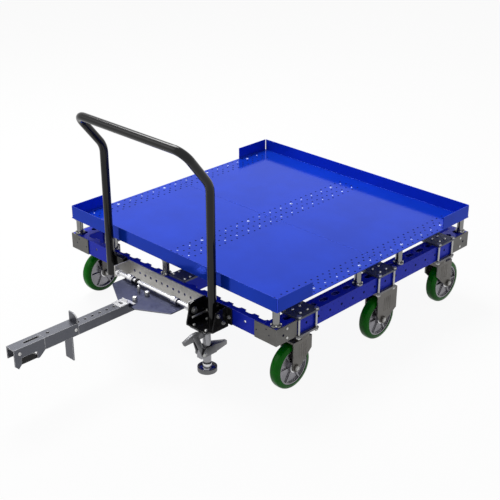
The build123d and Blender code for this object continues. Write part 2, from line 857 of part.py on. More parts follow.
# Coupling tube: the closed length of the head, crossed by the hitch pin hole
jaw_back_y = head_front_y + jaw_length
with BuildPart() as coupling_tube:
    with BuildSketch(Plane.XZ.offset(-bar_front_y)):
        with Locations((0, bar_bottom + head_height / 2)):
            Rectangle(bar_width, head_height)
            Rectangle(bar_width - 2 * head_wall, head_height - 2 * head_wall, mode=Mode.SUBTRACT)
    extrude(amount=head_length - jaw_length)
    with BuildSketch(Plane.XY.offset(head_top)):
        with Locations((0, head_front_y + head_hole_setback)):
            Circle(head_hole / 2)
    extrude(amount=-head_height, mode=Mode.SUBTRACT)
deliver(coupling_tube.part, "coupling_tube")

# Coupling head: two cheeks under a top wall, the right one with a hook, a side mouth and a heel
mouth_y = head_front_y + hook_width
heel_y = mouth_y + mouth_length
hooked_cheek = [
    (head_front_y, head_top),
    (head_front_y, bar_bottom - hook_depth + hook_width / 2),
    (head_front_y + hook_width / 2, bar_bottom - hook_depth),
    (mouth_y, bar_bottom - hook_heel),
    (mouth_y, bar_bottom + mouth_rise),
    (heel_y, bar_bottom + mouth_rise),
    (heel_y, bar_bottom - heel_depth),
    (heel_y + heel_flat, bar_bottom - heel_depth),
    (jaw_back_y, bar_bottom),
    (jaw_back_y, head_top),
]
plain_cheek = [
    (head_front_y, head_top),
    (head_front_y, bar_bottom),
    (jaw_back_y, bar_bottom),
    (jaw_back_y, head_top),
]
with BuildPart() as coupling_head:
    for side, outline in ((1, hooked_cheek), (-1, plain_cheek)):
        with BuildSketch(Plane.YZ.offset(side * bar_width / 2)):
            with BuildLine():
                Polyline(*outline, close=True)
            make_face()
        extrude(amount=-side * head_wall)
    with BuildSketch(Plane.XY.offset(head_top)):
        with Locations((0, head_front_y)):
            Rectangle(bar_width, jaw_length, align=(Align.CENTER, Align.MIN))
        with Locations((0, head_front_y + head_slot_setback)):
            SlotOverall(head_slot_length, head_slot_width, rotation=90, mode=Mode.SUBTRACT)
    extrude(amount=-head_wall)
deliver(coupling_head.part, "coupling_head")

# Coupling latch: the block that shuts the mouth between the cheeks
with BuildPart() as coupling_latch:
    latch_half = bar_width / 2 - head_wall - latch_gap
    latch_bottom = bar_bottom - heel_depth
    with BuildSketch(Plane.YZ.offset(-latch_half)):
        with BuildLine():
            Polyline(
                (mouth_y, latch_bottom),
                (heel_y + heel_flat, latch_bottom),
                (heel_y + heel_flat, latch_bottom + latch_tail),
                (mouth_y + 2 * latch_nose, bar_bottom + latch_rise),
                (mouth_y + latch_nose, bar_bottom + latch_rise),
                close=True,
            )
        make_face()
    extrude(amount=2 * latch_half)
deliver(coupling_latch.part, "coupling_latch")

# Tow bar lever: a foot plate under the head and a rounded hand tab above it
with BuildPart() as tow_lever:
    foot_y = bar_front_y - lever_setback
    with BuildSketch(Plane.XZ.offset(-foot_y)):
        with Locations((0, bar_bottom)):
            Rectangle(bar_width, lever_drop, align=(Align.CENTER, Align.MAX))
    extrude(amount=lever_plate)
    with BuildSketch(Plane.XZ.offset(-bar_front_y)):
        with Locations((0, head_top)):
            hand_tab = Rectangle(bar_width, lever_tab_height, align=(Align.CENTER, Align.MIN))
        fillet(hand_tab.vertices().sort_by(Axis.X)[-2:].sort_by(Axis.Z)[-1], lever_tab_radius)
    extrude(amount=lever_plate)
deliver(tow_lever.part, "tow_lever")

# Floor lock: a flanged column with a collar and pivot pin, two pedals and a sliding foot
collar_half = lock_collar_width / 2
column_radius = lock_column_diameter / 2
collar_bottom = column_bottom + lock_collar_rise
collar_top = collar_bottom + lock_collar_height
lock_pin_y = lock_y - lock_pin_forward
lock_pin_z = collar_bottom + lock_pin_height
lever_inner = collar_half + running_gap
with BuildPart() as lock_housing:
    with BuildSketch(Plane.XY.offset(shelf_bottom)):
        with Locations((lock_x, lock_y)):
            Rectangle(lock_flange, lock_flange)
    extrude(amount=-lock_flange_thickness)
    with BuildSketch(Plane.XY.offset(column_top)):
        with Locations((lock_x, lock_y)):
            Circle(column_radius)
    extrude(amount=-lock_column_length)
    with BuildSketch(Plane.XY.offset(collar_bottom)):
        with Locations((lock_x, lock_pin_y - strut_width / 2)):
            Rectangle(
                lock_collar_width,
                strut_width / 2 + lock_pin_forward + column_radius,
                align=(Align.CENTER, Align.MIN),
            )
    extrude(amount=lock_collar_height)
    with BuildSketch(Plane.YZ.offset(lock_x - lever_inner - pedal_wall)):
        with Locations((lock_pin_y, lock_pin_z)):
            Circle(lock_pin_diameter / 2)
    extrude(amount=2 * (lever_inner + pedal_wall))
    with BuildSketch(Plane.XY.offset(column_bottom)):
        with Locations((lock_x, lock_y)):
            Circle(lock_plunger_diameter / 2 + running_gap)
    extrude(amount=lock_column_length, mode=Mode.SUBTRACT)
deliver(lock_housing.part, "lock_housing")

# Front pedal: two cranked side plates on the pivot pin under one tread, and a link to the column
pedal_knee_y = lock_y - front_pedal_forward
pedal_knee_z = column_top - running_gap
pedal_tip = (pedal_knee_y - front_pedal_length, pedal_knee_z - front_pedal_fall)
link_end_y = lock_y - column_radius - running_gap
link_end_z = column_top - link_drop
with BuildPart() as lock_pedal_front:
    for side in (-1, 1):
        with BuildSketch(Plane.YZ.offset(lock_x + side * lever_inner)):
            with BuildLine():
                Polyline(
                    pedal_tip,
                    (pedal_knee_y, pedal_knee_z),
                    (pedal_knee_y + strut_width, pedal_knee_z),
                    (lock_pin_y + strut_width / 2, lock_pin_z),
                    (lock_pin_y - strut_width / 2, lock_pin_z),
                    (pedal_knee_y - strut_width / 4, pedal_knee_z - 2 * pedal_height),
                    (pedal_tip[0] + pedal_height / 2, pedal_tip[1] - pedal_height),
                    close=True,
                )
            make_face()
            with Locations((lock_pin_y, lock_pin_z)):
                Circle(strut_width / 2)
                Circle(lock_pin_diameter / 2 + running_gap, mode=Mode.SUBTRACT)
        extrude(amount=side * pedal_wall)
    with BuildSketch(Plane.YZ.offset(lock_x - lever_inner)):
        with BuildLine():
            Polyline(
                pedal_tip,
                (pedal_knee_y, pedal_knee_z),
                (pedal_knee_y, pedal_knee_z - pedal_wall),
                (pedal_tip[0], pedal_tip[1] - pedal_wall),
                close=True,
            )
        make_face()
    extrude(amount=2 * lever_inner)
    with BuildSketch(Plane.YZ.offset(lock_x - link_thickness / 2)):
        with BuildLine():
            Polyline(
                (pedal_knee_y, pedal_knee_z),
                (pedal_knee_y + strut_width, pedal_knee_z),
                (link_end_y, link_end_z + strut_width / 2),
                (link_end_y, link_end_z - strut_width / 2),
                (pedal_knee_y, pedal_knee_z - strut_width),
                close=True,
            )
        make_face()
    extrude(amount=link_thickness)
deliver(lock_pedal_front.part, "lock_pedal_front")

# Rear pedal: a wedge behind the collar that thins to its tip, open below
pedal_root_y = lock_y + column_radius
with BuildPart() as lock_pedal_rear:
    with BuildSketch(Plane.YZ.offset(lock_x - rear_pedal_width / 2)):
        with BuildLine():
            Polyline(
                (pedal_root_y, collar_bottom),
                (pedal_root_y + rear_pedal_length, collar_bottom),
                (pedal_root_y + rear_pedal_length, collar_bottom + pedal_height),
                (pedal_root_y + rear_pedal_neck, collar_bottom + pedal_height),
                (pedal_root_y + rear_pedal_root, collar_top),
                (pedal_root_y, collar_top),
                close=True,
            )
        make_face()
    extrude(amount=rear_pedal_width)
    with BuildSketch(Plane.XY.offset(collar_bottom)):
        with Locations((lock_x, pedal_root_y + pedal_wall)):
            Rectangle(
                rear_pedal_width - 2 * pedal_wall,
                rear_pedal_length - 2 * pedal_wall,
                align=(Align.CENTER, Align.MIN),
            )
    extrude(amount=pedal_height - pedal_wall, mode=Mode.SUBTRACT)
deliver(lock_pedal_rear.part, "lock_pedal_rear")

foot_top = lock_lift + lock_pad_thickness
with BuildPart() as lock_foot:
    with BuildSketch(Plane.XY.offset(lock_lift)):
        with Locations((lock_x, lock_y)):
            Circle(lock_pad_diameter / 2)
    extrude(amount=lock_pad_thickness)
    with BuildSketch(Plane.XY.offset(foot_top)):
        with Locations((lock_x, lock_y)):
            Circle(lock_pad_hollow_diameter / 2)
    extrude(amount=-lock_pad_hollow, mode=Mode.SUBTRACT)
    with BuildSketch(Plane.XY.offset(foot_top - lock_pad_hollow)):
        with Locations((lock_x, lock_y)):
            Circle(lock_boss_diameter / 2)
    extrude(amount=lock_pad_hollow + lock_boss_height)
    with BuildSketch(Plane.XY.offset(foot_top)):
        with Locations((lock_x, lock_y)):
            Circle(lock_plunger_diameter / 2)
    extrude(amount=lock_plunger_length)
deliver(lock_foot.part, "lock_foot")
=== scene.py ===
"""Looks of the material handling cart: its finishes, fasteners, treads, lock levers and studio."""
import itertools
import json
import logging
import math
from dataclasses import dataclass, field
from enum import Enum
from typing import Iterator, Mapping, Optional, Sequence, Union

import bmesh
import bpy
from mathutils import Matrix, Vector


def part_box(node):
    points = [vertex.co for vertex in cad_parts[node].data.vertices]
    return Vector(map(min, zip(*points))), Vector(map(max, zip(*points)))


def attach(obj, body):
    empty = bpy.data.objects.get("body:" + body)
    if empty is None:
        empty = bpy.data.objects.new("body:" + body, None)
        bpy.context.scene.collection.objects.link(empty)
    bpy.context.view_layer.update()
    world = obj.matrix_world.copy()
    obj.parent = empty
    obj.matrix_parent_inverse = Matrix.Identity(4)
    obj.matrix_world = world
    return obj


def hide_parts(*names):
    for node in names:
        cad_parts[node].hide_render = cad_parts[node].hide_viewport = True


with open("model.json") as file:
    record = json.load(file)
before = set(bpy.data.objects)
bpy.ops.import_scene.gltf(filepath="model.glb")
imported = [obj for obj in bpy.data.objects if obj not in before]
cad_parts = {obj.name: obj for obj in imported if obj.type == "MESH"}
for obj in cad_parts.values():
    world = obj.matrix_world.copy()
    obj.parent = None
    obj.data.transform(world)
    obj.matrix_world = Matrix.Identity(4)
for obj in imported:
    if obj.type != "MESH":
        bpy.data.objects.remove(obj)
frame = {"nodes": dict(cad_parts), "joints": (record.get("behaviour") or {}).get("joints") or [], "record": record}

LOG = logging.getLogger("cart")
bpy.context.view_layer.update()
UP = Vector((0.0, 0.0, 1.0))
ACROSS = Vector((1.0, 0.0, 0.0))
BACK = Vector((0.0, 1.0, 0.0))
SIDES = (-1, 1)
Tone = tuple[float, float, float]
Profile = Sequence[tuple[float, float]]
Places = tuple[tuple[float, float], ...]
SHARP_ANGLE = math.radians(38.0)
SUNK = -0.001
HOLE_LIFT = 0.00025


class Body(str, Enum):
    """Bodies of the cart that carry pieces besides the casters."""

    CHASSIS = "chassis"
    TOW_BAR = "tow_bar"
    LOCK_FOOT = "lock_foot"


class Berth(str, Enum):
    """Places of the six casters."""

    FRONT_LEFT = "front_left"
    FRONT_RIGHT = "front_right"
    MIDDLE_LEFT = "middle_left"
    MIDDLE_RIGHT = "middle_right"
    REAR_LEFT = "rear_left"
    REAR_RIGHT = "rear_right"

    @property
    def swivels(self) -> bool:
        """Tell whether the caster turns about its king pin."""
        return not self.value.startswith("middle")

    @property
    def fork_node(self) -> str:
        """Name the fork's solid."""
        return f"{'swivel' if self.swivels else 'fixed'}_fork_{self.value}"

    @property
    def fork_body(self) -> str:
        """Name the body that carries the fork."""
        return f"swivel_{self.value}" if self.swivels else Body.CHASSIS.value


class Head(Enum):
    """Forms of a fastener's head."""

    HEXAGON = "hexagon"
    BUTTON = "button"


class Slot(str, Enum):
    """Material slots of the record."""

    BLUE_FRAME = "blue_frame"
    BLUE_DECK = "blue_deck"
    GALVANISED = "galvanised"
    DARK_PLATE = "dark_plate"
    BLUE_GREY_PLATE = "blue_grey_plate"
    BRIGHT_STEEL = "bright_steel"
    BLACK_PAINT = "black_paint"
    GREY_STEEL = "grey_steel"
    BLACK_LATCH = "black_latch"
    LOCK_ZINC = "lock_zinc"
    FORK_ZINC = "fork_zinc"
    GREEN_TREAD = "green_tread"
    HUB_GREY = "hub_grey"


class Sock:
    """A node's output that takes part in arithmetic."""

    def __init__(self, graph: "Graph", socket: bpy.types.NodeSocket) -> None:
        """Keep the socket and the graph that holds it."""
        self.graph = graph
        self.socket = socket

    def _math(self, operation: str, *terms: "Term") -> "Sock":
        """Add one Math node over the terms."""
        return self.graph.node("ShaderNodeMath", {"operation": operation}, dict(enumerate(terms)))

    def __add__(self, other: "Term") -> "Sock":
        """Add a value or another output."""
        return self._math("ADD", self, other)

    def __radd__(self, other: "Term") -> "Sock":
        """Add to a value."""
        return self._math("ADD", other, self)

    def __sub__(self, other: "Term") -> "Sock":
        """Take a value or another output away."""
        return self._math("SUBTRACT", self, other)

    def __rsub__(self, other: "Term") -> "Sock":
        """Take this output away from a value."""
        return self._math("SUBTRACT", other, self)

    def __mul__(self, other: "Term") -> "Sock":
        """Multiply by a value or another output."""
        return self._math("MULTIPLY", self, other)

    def size(self) -> "Sock":
        """Drop the sign of a value."""
        return self._math("ABSOLUTE", self)

    def peak(self, other: "Term") -> "Sock":
        """Take the larger of two values."""
        return self._math("MAXIMUM", self, other)

    def over(self, low: float, high: float) -> "Sock":
        """Ramp smoothly from 0 at the low value to 1 at the high one."""
        return self.graph.node("ShaderNodeMapRange", {"interpolation_type": "SMOOTHSTEP"},
                               {"Value": self, "From Min": low, "From Max": high})


Term = Union[Sock, float, tuple]


class Graph:
    """A node tree under construction."""

    def __init__(self, tree: bpy.types.NodeTree) -> None:
        """Start on an empty tree."""
        tree.nodes.clear()
        self.tree = tree

    def node(self, kind: str, settings: Optional[Mapping[str, object]] = None,
             sockets: Optional[Mapping[Union[int, str], Term]] = None, out: Union[int, str] = 0) -> Sock:
        """Add any node.

        Args:
            kind: The node's type.
            settings: Attributes that are set before the sockets.
            sockets: Values or links of the inputs, by name or number.
            out: The output to hand back.

        Returns:
            The chosen output, ready for arithmetic.
        """
        made = self.tree.nodes.new(kind)
        for name, value in (settings or {}).items():
            setattr(made, name, value)
        for name, value in (sockets or {}).items():
            if isinstance(value, Sock):
                self.tree.links.new(value.socket, made.inputs[name])
            else:
                made.inputs[name].default_value = value
        return Sock(self, made.outputs[out] if made.outputs else None)

    def place(self, stretch: tuple[float, float, float] = (1.0, 1.0, 1.0)) -> Sock:
        """Give the place on the object, stretched along its axes."""
        where = self.node("ShaderNodeTexCoord", out="Object")
        return self.node("ShaderNodeMapping", {"vector_type": "POINT"}, {"Vector": where, "Scale": stretch})

    def noise(self, where: Sock, scale: float, detail: float = 2.0, rough: float = 0.5) -> Sock:
        """Give a noise value over the object, scale in waves per metre."""
        return self.node("ShaderNodeTexNoise", {"noise_dimensions": "3D"},
                         {"Vector": where, "Scale": scale, "Detail": detail, "Roughness": rough})

    def blend(self, factor: Term, first: Union[Sock, Tone], second: Union[Sock, Tone]) -> Sock:
        """Mix two colours.

        Args:
            factor: Share of the second colour.
            first: The colour at 0.
            second: The colour at 1.

        Returns:
            The mixed colour.
        """
        first = first if isinstance(first, Sock) else (*first, 1.0)
        second = second if isinstance(second, Sock) else (*second, 1.0)
        return self.node("ShaderNodeMix", {"data_type": "RGBA", "clamp_factor": True},
                         {0: factor, 6: first, 7: second}, out=2)

    def rounded(self, radius: float) -> Sock:
        """Give the normal as it is with sharp edges rounded to a radius."""
        return self.node("ShaderNodeBevel", {"samples": 4}, {"Radius": radius})

    def rim(self, rounded: Sock) -> Sock:
        """Give 1 on sharp edges and 0 on flat faces, from a rounded normal."""
        flat = self.node("ShaderNodeNewGeometry", out="Normal")
        along = self.node("ShaderNodeVectorMath", {"operation": "DOT_PRODUCT"}, {0: rounded, 1: flat}, out="Value")
        return (1.0 - along).over(0.02, 0.22)

    def corner(self) -> Sock:
        """Give 1 where a rounded corner turns between the object's axes, and 0 on its flat sides."""
        facing = self.node("ShaderNodeTexCoord", out="Normal")
        parts = [self.node("ShaderNodeSeparateXYZ", {}, {"Vector": facing}, out=axis).size() for axis in "XYZ"]
        # This mask carries the painted highlight onto filleted corners, where the rounded normal finds no edge.
        return (1.0 - parts[0].peak(parts[1]).peak(parts[2])).over(0.02, 0.18)

    def edges(self, rounded: Sock, square: bool) -> Sock:
        """Give 1 on sharp edges, and on the rounded corners too where the form is square."""
        return self.rim(rounded).peak(self.corner()) if square else self.rim(rounded)

    def bump(self, height: Sock, depth: float, normal: Optional[Sock] = None, strength: float = 1.0) -> Sock:
        """Give a normal that follows a height.

        Args:
            height: The relief, from 0 to 1.
            depth: How deep the relief is, in metres.
            normal: The normal that the relief lies on.
            strength: Share of the relief that shows.

        Returns:
            The normal.
        """
        links = {"Height": height, "Distance": depth, "Strength": strength}
        return self.node("ShaderNodeBump", {}, links | ({"Normal": normal} if normal else {}))

    def surface(self, sockets: Mapping[str, Term]) -> None:
        """Finish the tree with a principled surface."""
        shader = self.node("ShaderNodeBsdfPrincipled", {}, sockets)
        self.node("ShaderNodeOutputMaterial", {}, {"Surface": shader})


def shade(tone: Tone, gain: float) -> Tone:
    """Brighten or darken a colour."""
    return tuple(min(part * gain, 1.0) for part in tone)


def lift(tone: Tone, pale: float) -> Tone:
    """Move a colour towards white."""
    return tuple(part + (1.0 - part) * pale for part in tone)


@dataclass(frozen=True)
class Finish:
    """What every finish of the cart has."""

    name: str
    tone: Tone
    roughness: float
    edge: float = 0.0015
    square: bool = False
    # Share of white painted onto edges and rounded corners: a painted highlight, partly edge wear.
    edge_wear_and_highlight: float = 0.25

    def paint(self, graph: Graph) -> None:
        """Draw the finish into a graph."""
        raise NotImplementedError

    def material(self) -> bpy.types.Material:
        """Give the finish as a material, made once."""
        made = bpy.data.materials.get(self.name)
        if made is None:
            made = bpy.data.materials.new(self.name)
            made.use_nodes = True
            made.diffuse_color = (*self.tone, 1.0)
            self.paint(Graph(made.node_tree))
        return made


@dataclass(frozen=True)
class PowderCoat(Finish):
    """Paint baked on steel, with orange peel, faint clouds, scuffs, and edges painted paler as a painted highlight,
    partly edge wear.
    """

    flake: float = 0.0
    gloss: float = 0.2
    peel: float = 0.00004

    def paint(self, graph: Graph) -> None:
        """Draw the paint into a graph."""
        where = graph.place()
        cloud = graph.noise(where, 4.0, 4.0, 0.6)
        scuff = graph.noise(graph.place((1.0, 4.0, 1.0)), 60.0, 5.0, 0.7).over(0.64, 0.76)
        rounded = graph.rounded(self.edge)
        rim = graph.edges(rounded, self.square)
        tone = graph.blend(cloud.over(0.25, 0.75), shade(self.tone, 0.9), shade(self.tone, 1.08))
        tone = graph.blend(scuff * 0.10, tone, lift(self.tone, 0.10))
        # Paler edges and rounded corners: a painted highlight, partly edge wear.
        tone = graph.blend(rim * 0.55, tone, lift(self.tone, self.edge_wear_and_highlight))
        graph.surface({
            "Base Color": tone,
            "Roughness": self.roughness + (cloud - 0.5) * 0.06 + scuff * 0.06,
            "Metallic": self.flake,
            "Specular IOR Level": self.gloss,
            "Normal": graph.bump(graph.noise(where, 330.0, 2.0), self.peel, rounded),
        })


@dataclass(frozen=True)
class ZincCoat(Finish):
    """Zinc on steel, with crystals, dull stains, and edges painted brighter as a painted highlight, partly edge wear.
    """

    crystal: float = 0.008
    contrast: float = 0.22
    metallic: float = 0.75

    def paint(self, graph: Graph) -> None:
        """Draw the zinc into a graph."""
        where = graph.place()
        facet = graph.node("ShaderNodeTexVoronoi", {"feature": "F1"},
                           {"Vector": where, "Scale": 1.0 / self.crystal}, out="Color")
        stain = graph.noise(where, 14.0, 5.0, 0.6)
        rounded = graph.rounded(self.edge)
        tone = graph.blend(facet, shade(self.tone, 1.0 - self.contrast), shade(self.tone, 1.0 + self.contrast))
        tone = graph.blend(stain.over(0.45, 0.75) * 0.45, tone, shade(self.tone, 0.68))
        # Brighter edges and rounded corners: a painted highlight, partly edge wear.
        tone = graph.blend(graph.edges(rounded, self.square) * 0.6, tone, lift(self.tone, self.edge_wear_and_highlight))
        graph.surface({
            "Base Color": tone,
            "Roughness": self.roughness + (facet - 0.5) * 0.12 + stain.over(0.4, 0.8) * 0.12,
            "Metallic": self.metallic,
            "Normal": graph.bump(graph.noise(where, 240.0, 3.0), 0.00008, rounded),
        })


@dataclass(frozen=True)
class DrawnSteel(Finish):
    """Bare steel with fine lines along one axis."""

    along: tuple[float, float, float] = (1.0, 1.0, 0.04)
    metallic: float = 1.0
    contrast: float = 0.12

    def paint(self, graph: Graph) -> None:
        """Draw the steel into a graph."""
        lines = graph.noise(graph.place(self.along), 900.0, 3.0, 0.6)
        cloud = graph.noise(graph.place(), 18.0, 4.0, 0.6)
        rounded = graph.rounded(self.edge)
        tone = graph.blend(lines, shade(self.tone, 1.0 - self.contrast), shade(self.tone, 1.0 + self.contrast))
        tone = graph.blend(cloud.over(0.5, 0.8) * 0.4, tone, shade(self.tone, 0.72))
        # Paler edges and rounded corners: a painted highlight, partly edge wear.
        tone = graph.blend(graph.edges(rounded, self.square) * 0.85, tone, lift(self.tone, self.edge_wear_and_highlight))
        graph.surface({
            "Base Color": tone,
            "Roughness": self.roughness + (lines - 0.5) * 0.16 + (cloud - 0.5) * 0.1,
            "Metallic": self.metallic,
            "Normal": graph.bump(lines, 0.00004, rounded),
        })


@dataclass(frozen=True)
class CastGrey(Finish):
    """Cast metal with a sanded skin and darker hollows."""

    grain: float = 0.00018
    metallic: float = 0.55

    def paint(self, graph: Graph) -> None:
        """Draw the casting into a graph."""
        where = graph.place()
        skin = graph.noise(where, 520.0, 3.0, 0.65)
        cloud = graph.noise(where, 22.0, 4.0)
        rounded = graph.rounded(self.edge)
        tone = graph.blend(cloud.over(0.3, 0.7), shade(self.tone, 0.86), shade(self.tone, 1.1))
        tone = graph.blend(skin.over(0.55, 0.8) * 0.4, tone, shade(self.tone, 0.72))
        # Paler edges and rounded corners: a painted highlight, partly edge wear.
        tone = graph.blend(graph.edges(rounded, self.square) * 0.6, tone, lift(self.tone, self.edge_wear_and_highlight))
        graph.surface({
            "Base Color": tone,
            "Roughness": self.roughness + (skin - 0.5) * 0.15,
            "Metallic": self.metallic,
            "Normal": graph.bump(skin, self.grain, rounded),
        })


@dataclass(frozen=True)
class Polyurethane(Finish):
    """Cast tread compound, a little cloudy, with fine scuffs."""

    dust: float = 0.1
    gloss: float = 0.10

    def paint(self, graph: Graph) -> None:
        """Draw the compound into a graph."""
        where = graph.place()
        cloud = graph.noise(where, 26.0, 4.0, 0.6)
        scuff = graph.noise(where, 190.0, 4.0, 0.7)
        tone = graph.blend(cloud.over(0.3, 0.7), shade(self.tone, 0.82), shade(self.tone, 1.14))
        tone = graph.blend(scuff.over(0.56, 0.74) * self.dust, tone, (0.05, 0.11, 0.045))
        graph.surface({
            "Base Color": tone,
            "Roughness": self.roughness + (cloud - 0.5) * 0.12 + scuff.over(0.5, 0.7) * 0.08,
            "Specular IOR Level": self.gloss,
            "Normal": graph.bump(scuff, 0.00006, graph.rounded(self.edge)),
        })


@dataclass(frozen=True)
class SoftBlack(Finish):
    """A dark matt surface: rubber, and painted shade for the inside of a hole."""

    grain: float = 0.0002
    gloss: float = 0.06

    def paint(self, graph: Graph) -> None:
        """Draw the dark surface into a graph."""
        where = graph.place()
        grain = graph.noise(where, 420.0, 3.0, 0.6)
        cloud = graph.noise(where, 30.0, 3.0)
        graph.surface({
            "Base Color": graph.blend(cloud.over(0.3, 0.7), shade(self.tone, 0.7), shade(self.tone, 1.35)),
            "Roughness": self.roughness + (grain - 0.5) * 0.2,
            "Specular IOR Level": self.gloss,
            "Normal": graph.bump(grain, self.grain),
        })


FINISHES: dict[Slot, Finish] = {
    Slot.BLUE_FRAME: PowderCoat("frame_blue_coat", (0.007, 0.024, 0.56), 0.28, 0.003, True, 0.22, flake=0.20,
                                gloss=0.10),
    Slot.BLUE_DECK: PowderCoat("deck_blue_coat", (0.006, 0.050, 0.60), 0.13, 0.002, True, 0.05, flake=0.30,
                               gloss=0.06, peel=0.00001),
    Slot.GALVANISED: ZincCoat("galvanised_sheet", (0.135, 0.132, 0.126), 0.45, 0.0015, True, 0.30, contrast=0.10),
    Slot.DARK_PLATE: ZincCoat("dark_passivated_plate", (0.090, 0.097, 0.125), 0.42, 0.0015, True, 0.20,
                              contrast=0.12, metallic=0.6),
    # The tow plate's grey steel is tinted blue: a painted reflection of the blue deck.
    Slot.BLUE_GREY_PLATE: ZincCoat("grey_sheet_painted_blue_reflection", (0.055, 0.061, 0.115), 0.36, 0.0025, True, 0.30,
                                   contrast=0.08, metallic=0.6),
    Slot.BRIGHT_STEEL: DrawnSteel("bright_drawn_steel", (0.66, 0.66, 0.67), 0.28, 0.001),
    Slot.BLACK_PAINT: PowderCoat("black_coat", (0.0055, 0.0052, 0.0060), 0.12, 0.0015, False, 0.04, gloss=0.30,
                                 peel=0.00001),
    # Edges and rounded corners are painted far paler here: a painted highlight along them.
    Slot.GREY_STEEL: DrawnSteel("grey_rolled_steel", (0.105, 0.109, 0.128), 0.34, 0.0030, True, 0.80,
                                along=(1.0, 0.05, 1.0), metallic=0.7),
    Slot.BLACK_LATCH: PowderCoat("black_latch_coat", (0.011, 0.011, 0.012), 0.34, 0.0012, False, 0.12, gloss=0.2),
    Slot.LOCK_ZINC: ZincCoat("lock_zinc_coat", (0.160, 0.160, 0.166), 0.36, 0.0015, False, 0.40, crystal=0.005,
                             contrast=0.10),
    Slot.FORK_ZINC: ZincCoat("fork_zinc_coat", (0.140, 0.133, 0.124), 0.40, 0.002, False, 0.35, crystal=0.010,
                             contrast=0.10),
    Slot.GREEN_TREAD: Polyurethane("green_polyurethane", (0.001, 0.190, 0.001), 0.15, 0.001),
    Slot.HUB_GREY: CastGrey("grey_cast_centre", (0.230, 0.226, 0.245), 0.26, 0.0015, False, 0.50, metallic=0.9),
}
BOLT_ZINC = ZincCoat("bolt_zinc", (0.60, 0.60, 0.59), 0.30, 0.0006, crystal=0.003, contrast=0.1, metallic=0.9)
BOLT_GREY = ZincCoat("bolt_grey", (0.22, 0.22, 0.22), 0.36, 0.0006, crystal=0.003, contrast=0.1, metallic=0.8)
# Zinc bolt heads tinted blue: a painted reflection of the blue deck round them.
BOLT_ZINC_BLUE_REFLECTION = ZincCoat("bolt_zinc_painted_blue_reflection", (0.36, 0.43, 0.80), 0.30, 0.0006, crystal=0.003, contrast=0.1, metallic=0.6)
POST_STEEL = DrawnSteel("post_turned_steel", (0.22, 0.22, 0.22), 0.18, 0.0008, False, 0.55)
# Zinc painted far paler than the galvanised sheet: painted light on the hinge bracket, which sits in shade under the
# deck.
HINGE_ZINC_PAINTED_LIGHT = ZincCoat("hinge_zinc_painted_light", (0.46, 0.45, 0.43), 0.42, 0.0012, True, 0.30, contrast=0.10)
STUD_ZINC = ZincCoat("stud_zinc", (0.42, 0.42, 0.41), 0.32, 0.0006, crystal=0.003, contrast=0.1, metallic=0.9)
# Painted shade: the dark inside of a hole, laid as a disc on the face.
HOLE_SHADE = SoftBlack("hole_shadow", (0.003, 0.005, 0.030), 0.85)
PAD_STEEL = DrawnSteel("pad_polished_steel", (0.42, 0.42, 0.46), 0.10, 0.0008, False, 0.30)
LEVER_STEEL = ZincCoat("lever_zinc", (0.150, 0.150, 0.158), 0.30, 0.0012, False, 0.60, crystal=0.006, contrast=0.12)
COLUMN_STEEL = DrawnSteel("column_drawn_steel", (0.27, 0.27, 0.285), 0.24, 0.0010, False, 0.40)
OWN_FINISHES: dict[str, Finish] = {
    "clamp_bolts": STUD_ZINC,
    "deck_posts": POST_STEEL,
    "hinge_bracket": HINGE_ZINC_PAINTED_LIGHT,
    "lock_foot": FINISHES[Slot.LOCK_ZINC],
    "lock_housing": COLUMN_STEEL,
    **{f"axle_{berth.value}": FINISHES[Slot.FORK_ZINC] for berth in Berth},
}


def soften(part: bmesh.types.BMesh, edges: Sequence[bmesh.types.BMEdge], offset: float, segments: int = 2) -> None:
    """Round some edges of a part off.

    Args:
        part: The mesh.
        edges: Its edges that are rounded.
        offset: How far the rounding reaches.
        segments: Facets across it.
    """
    bmesh.ops.bevel(part, geom=edges, offset=offset, offset_type="OFFSET", affect="EDGES", segments=segments,
                    profile=0.5, material=-1, clamp_overlap=True)


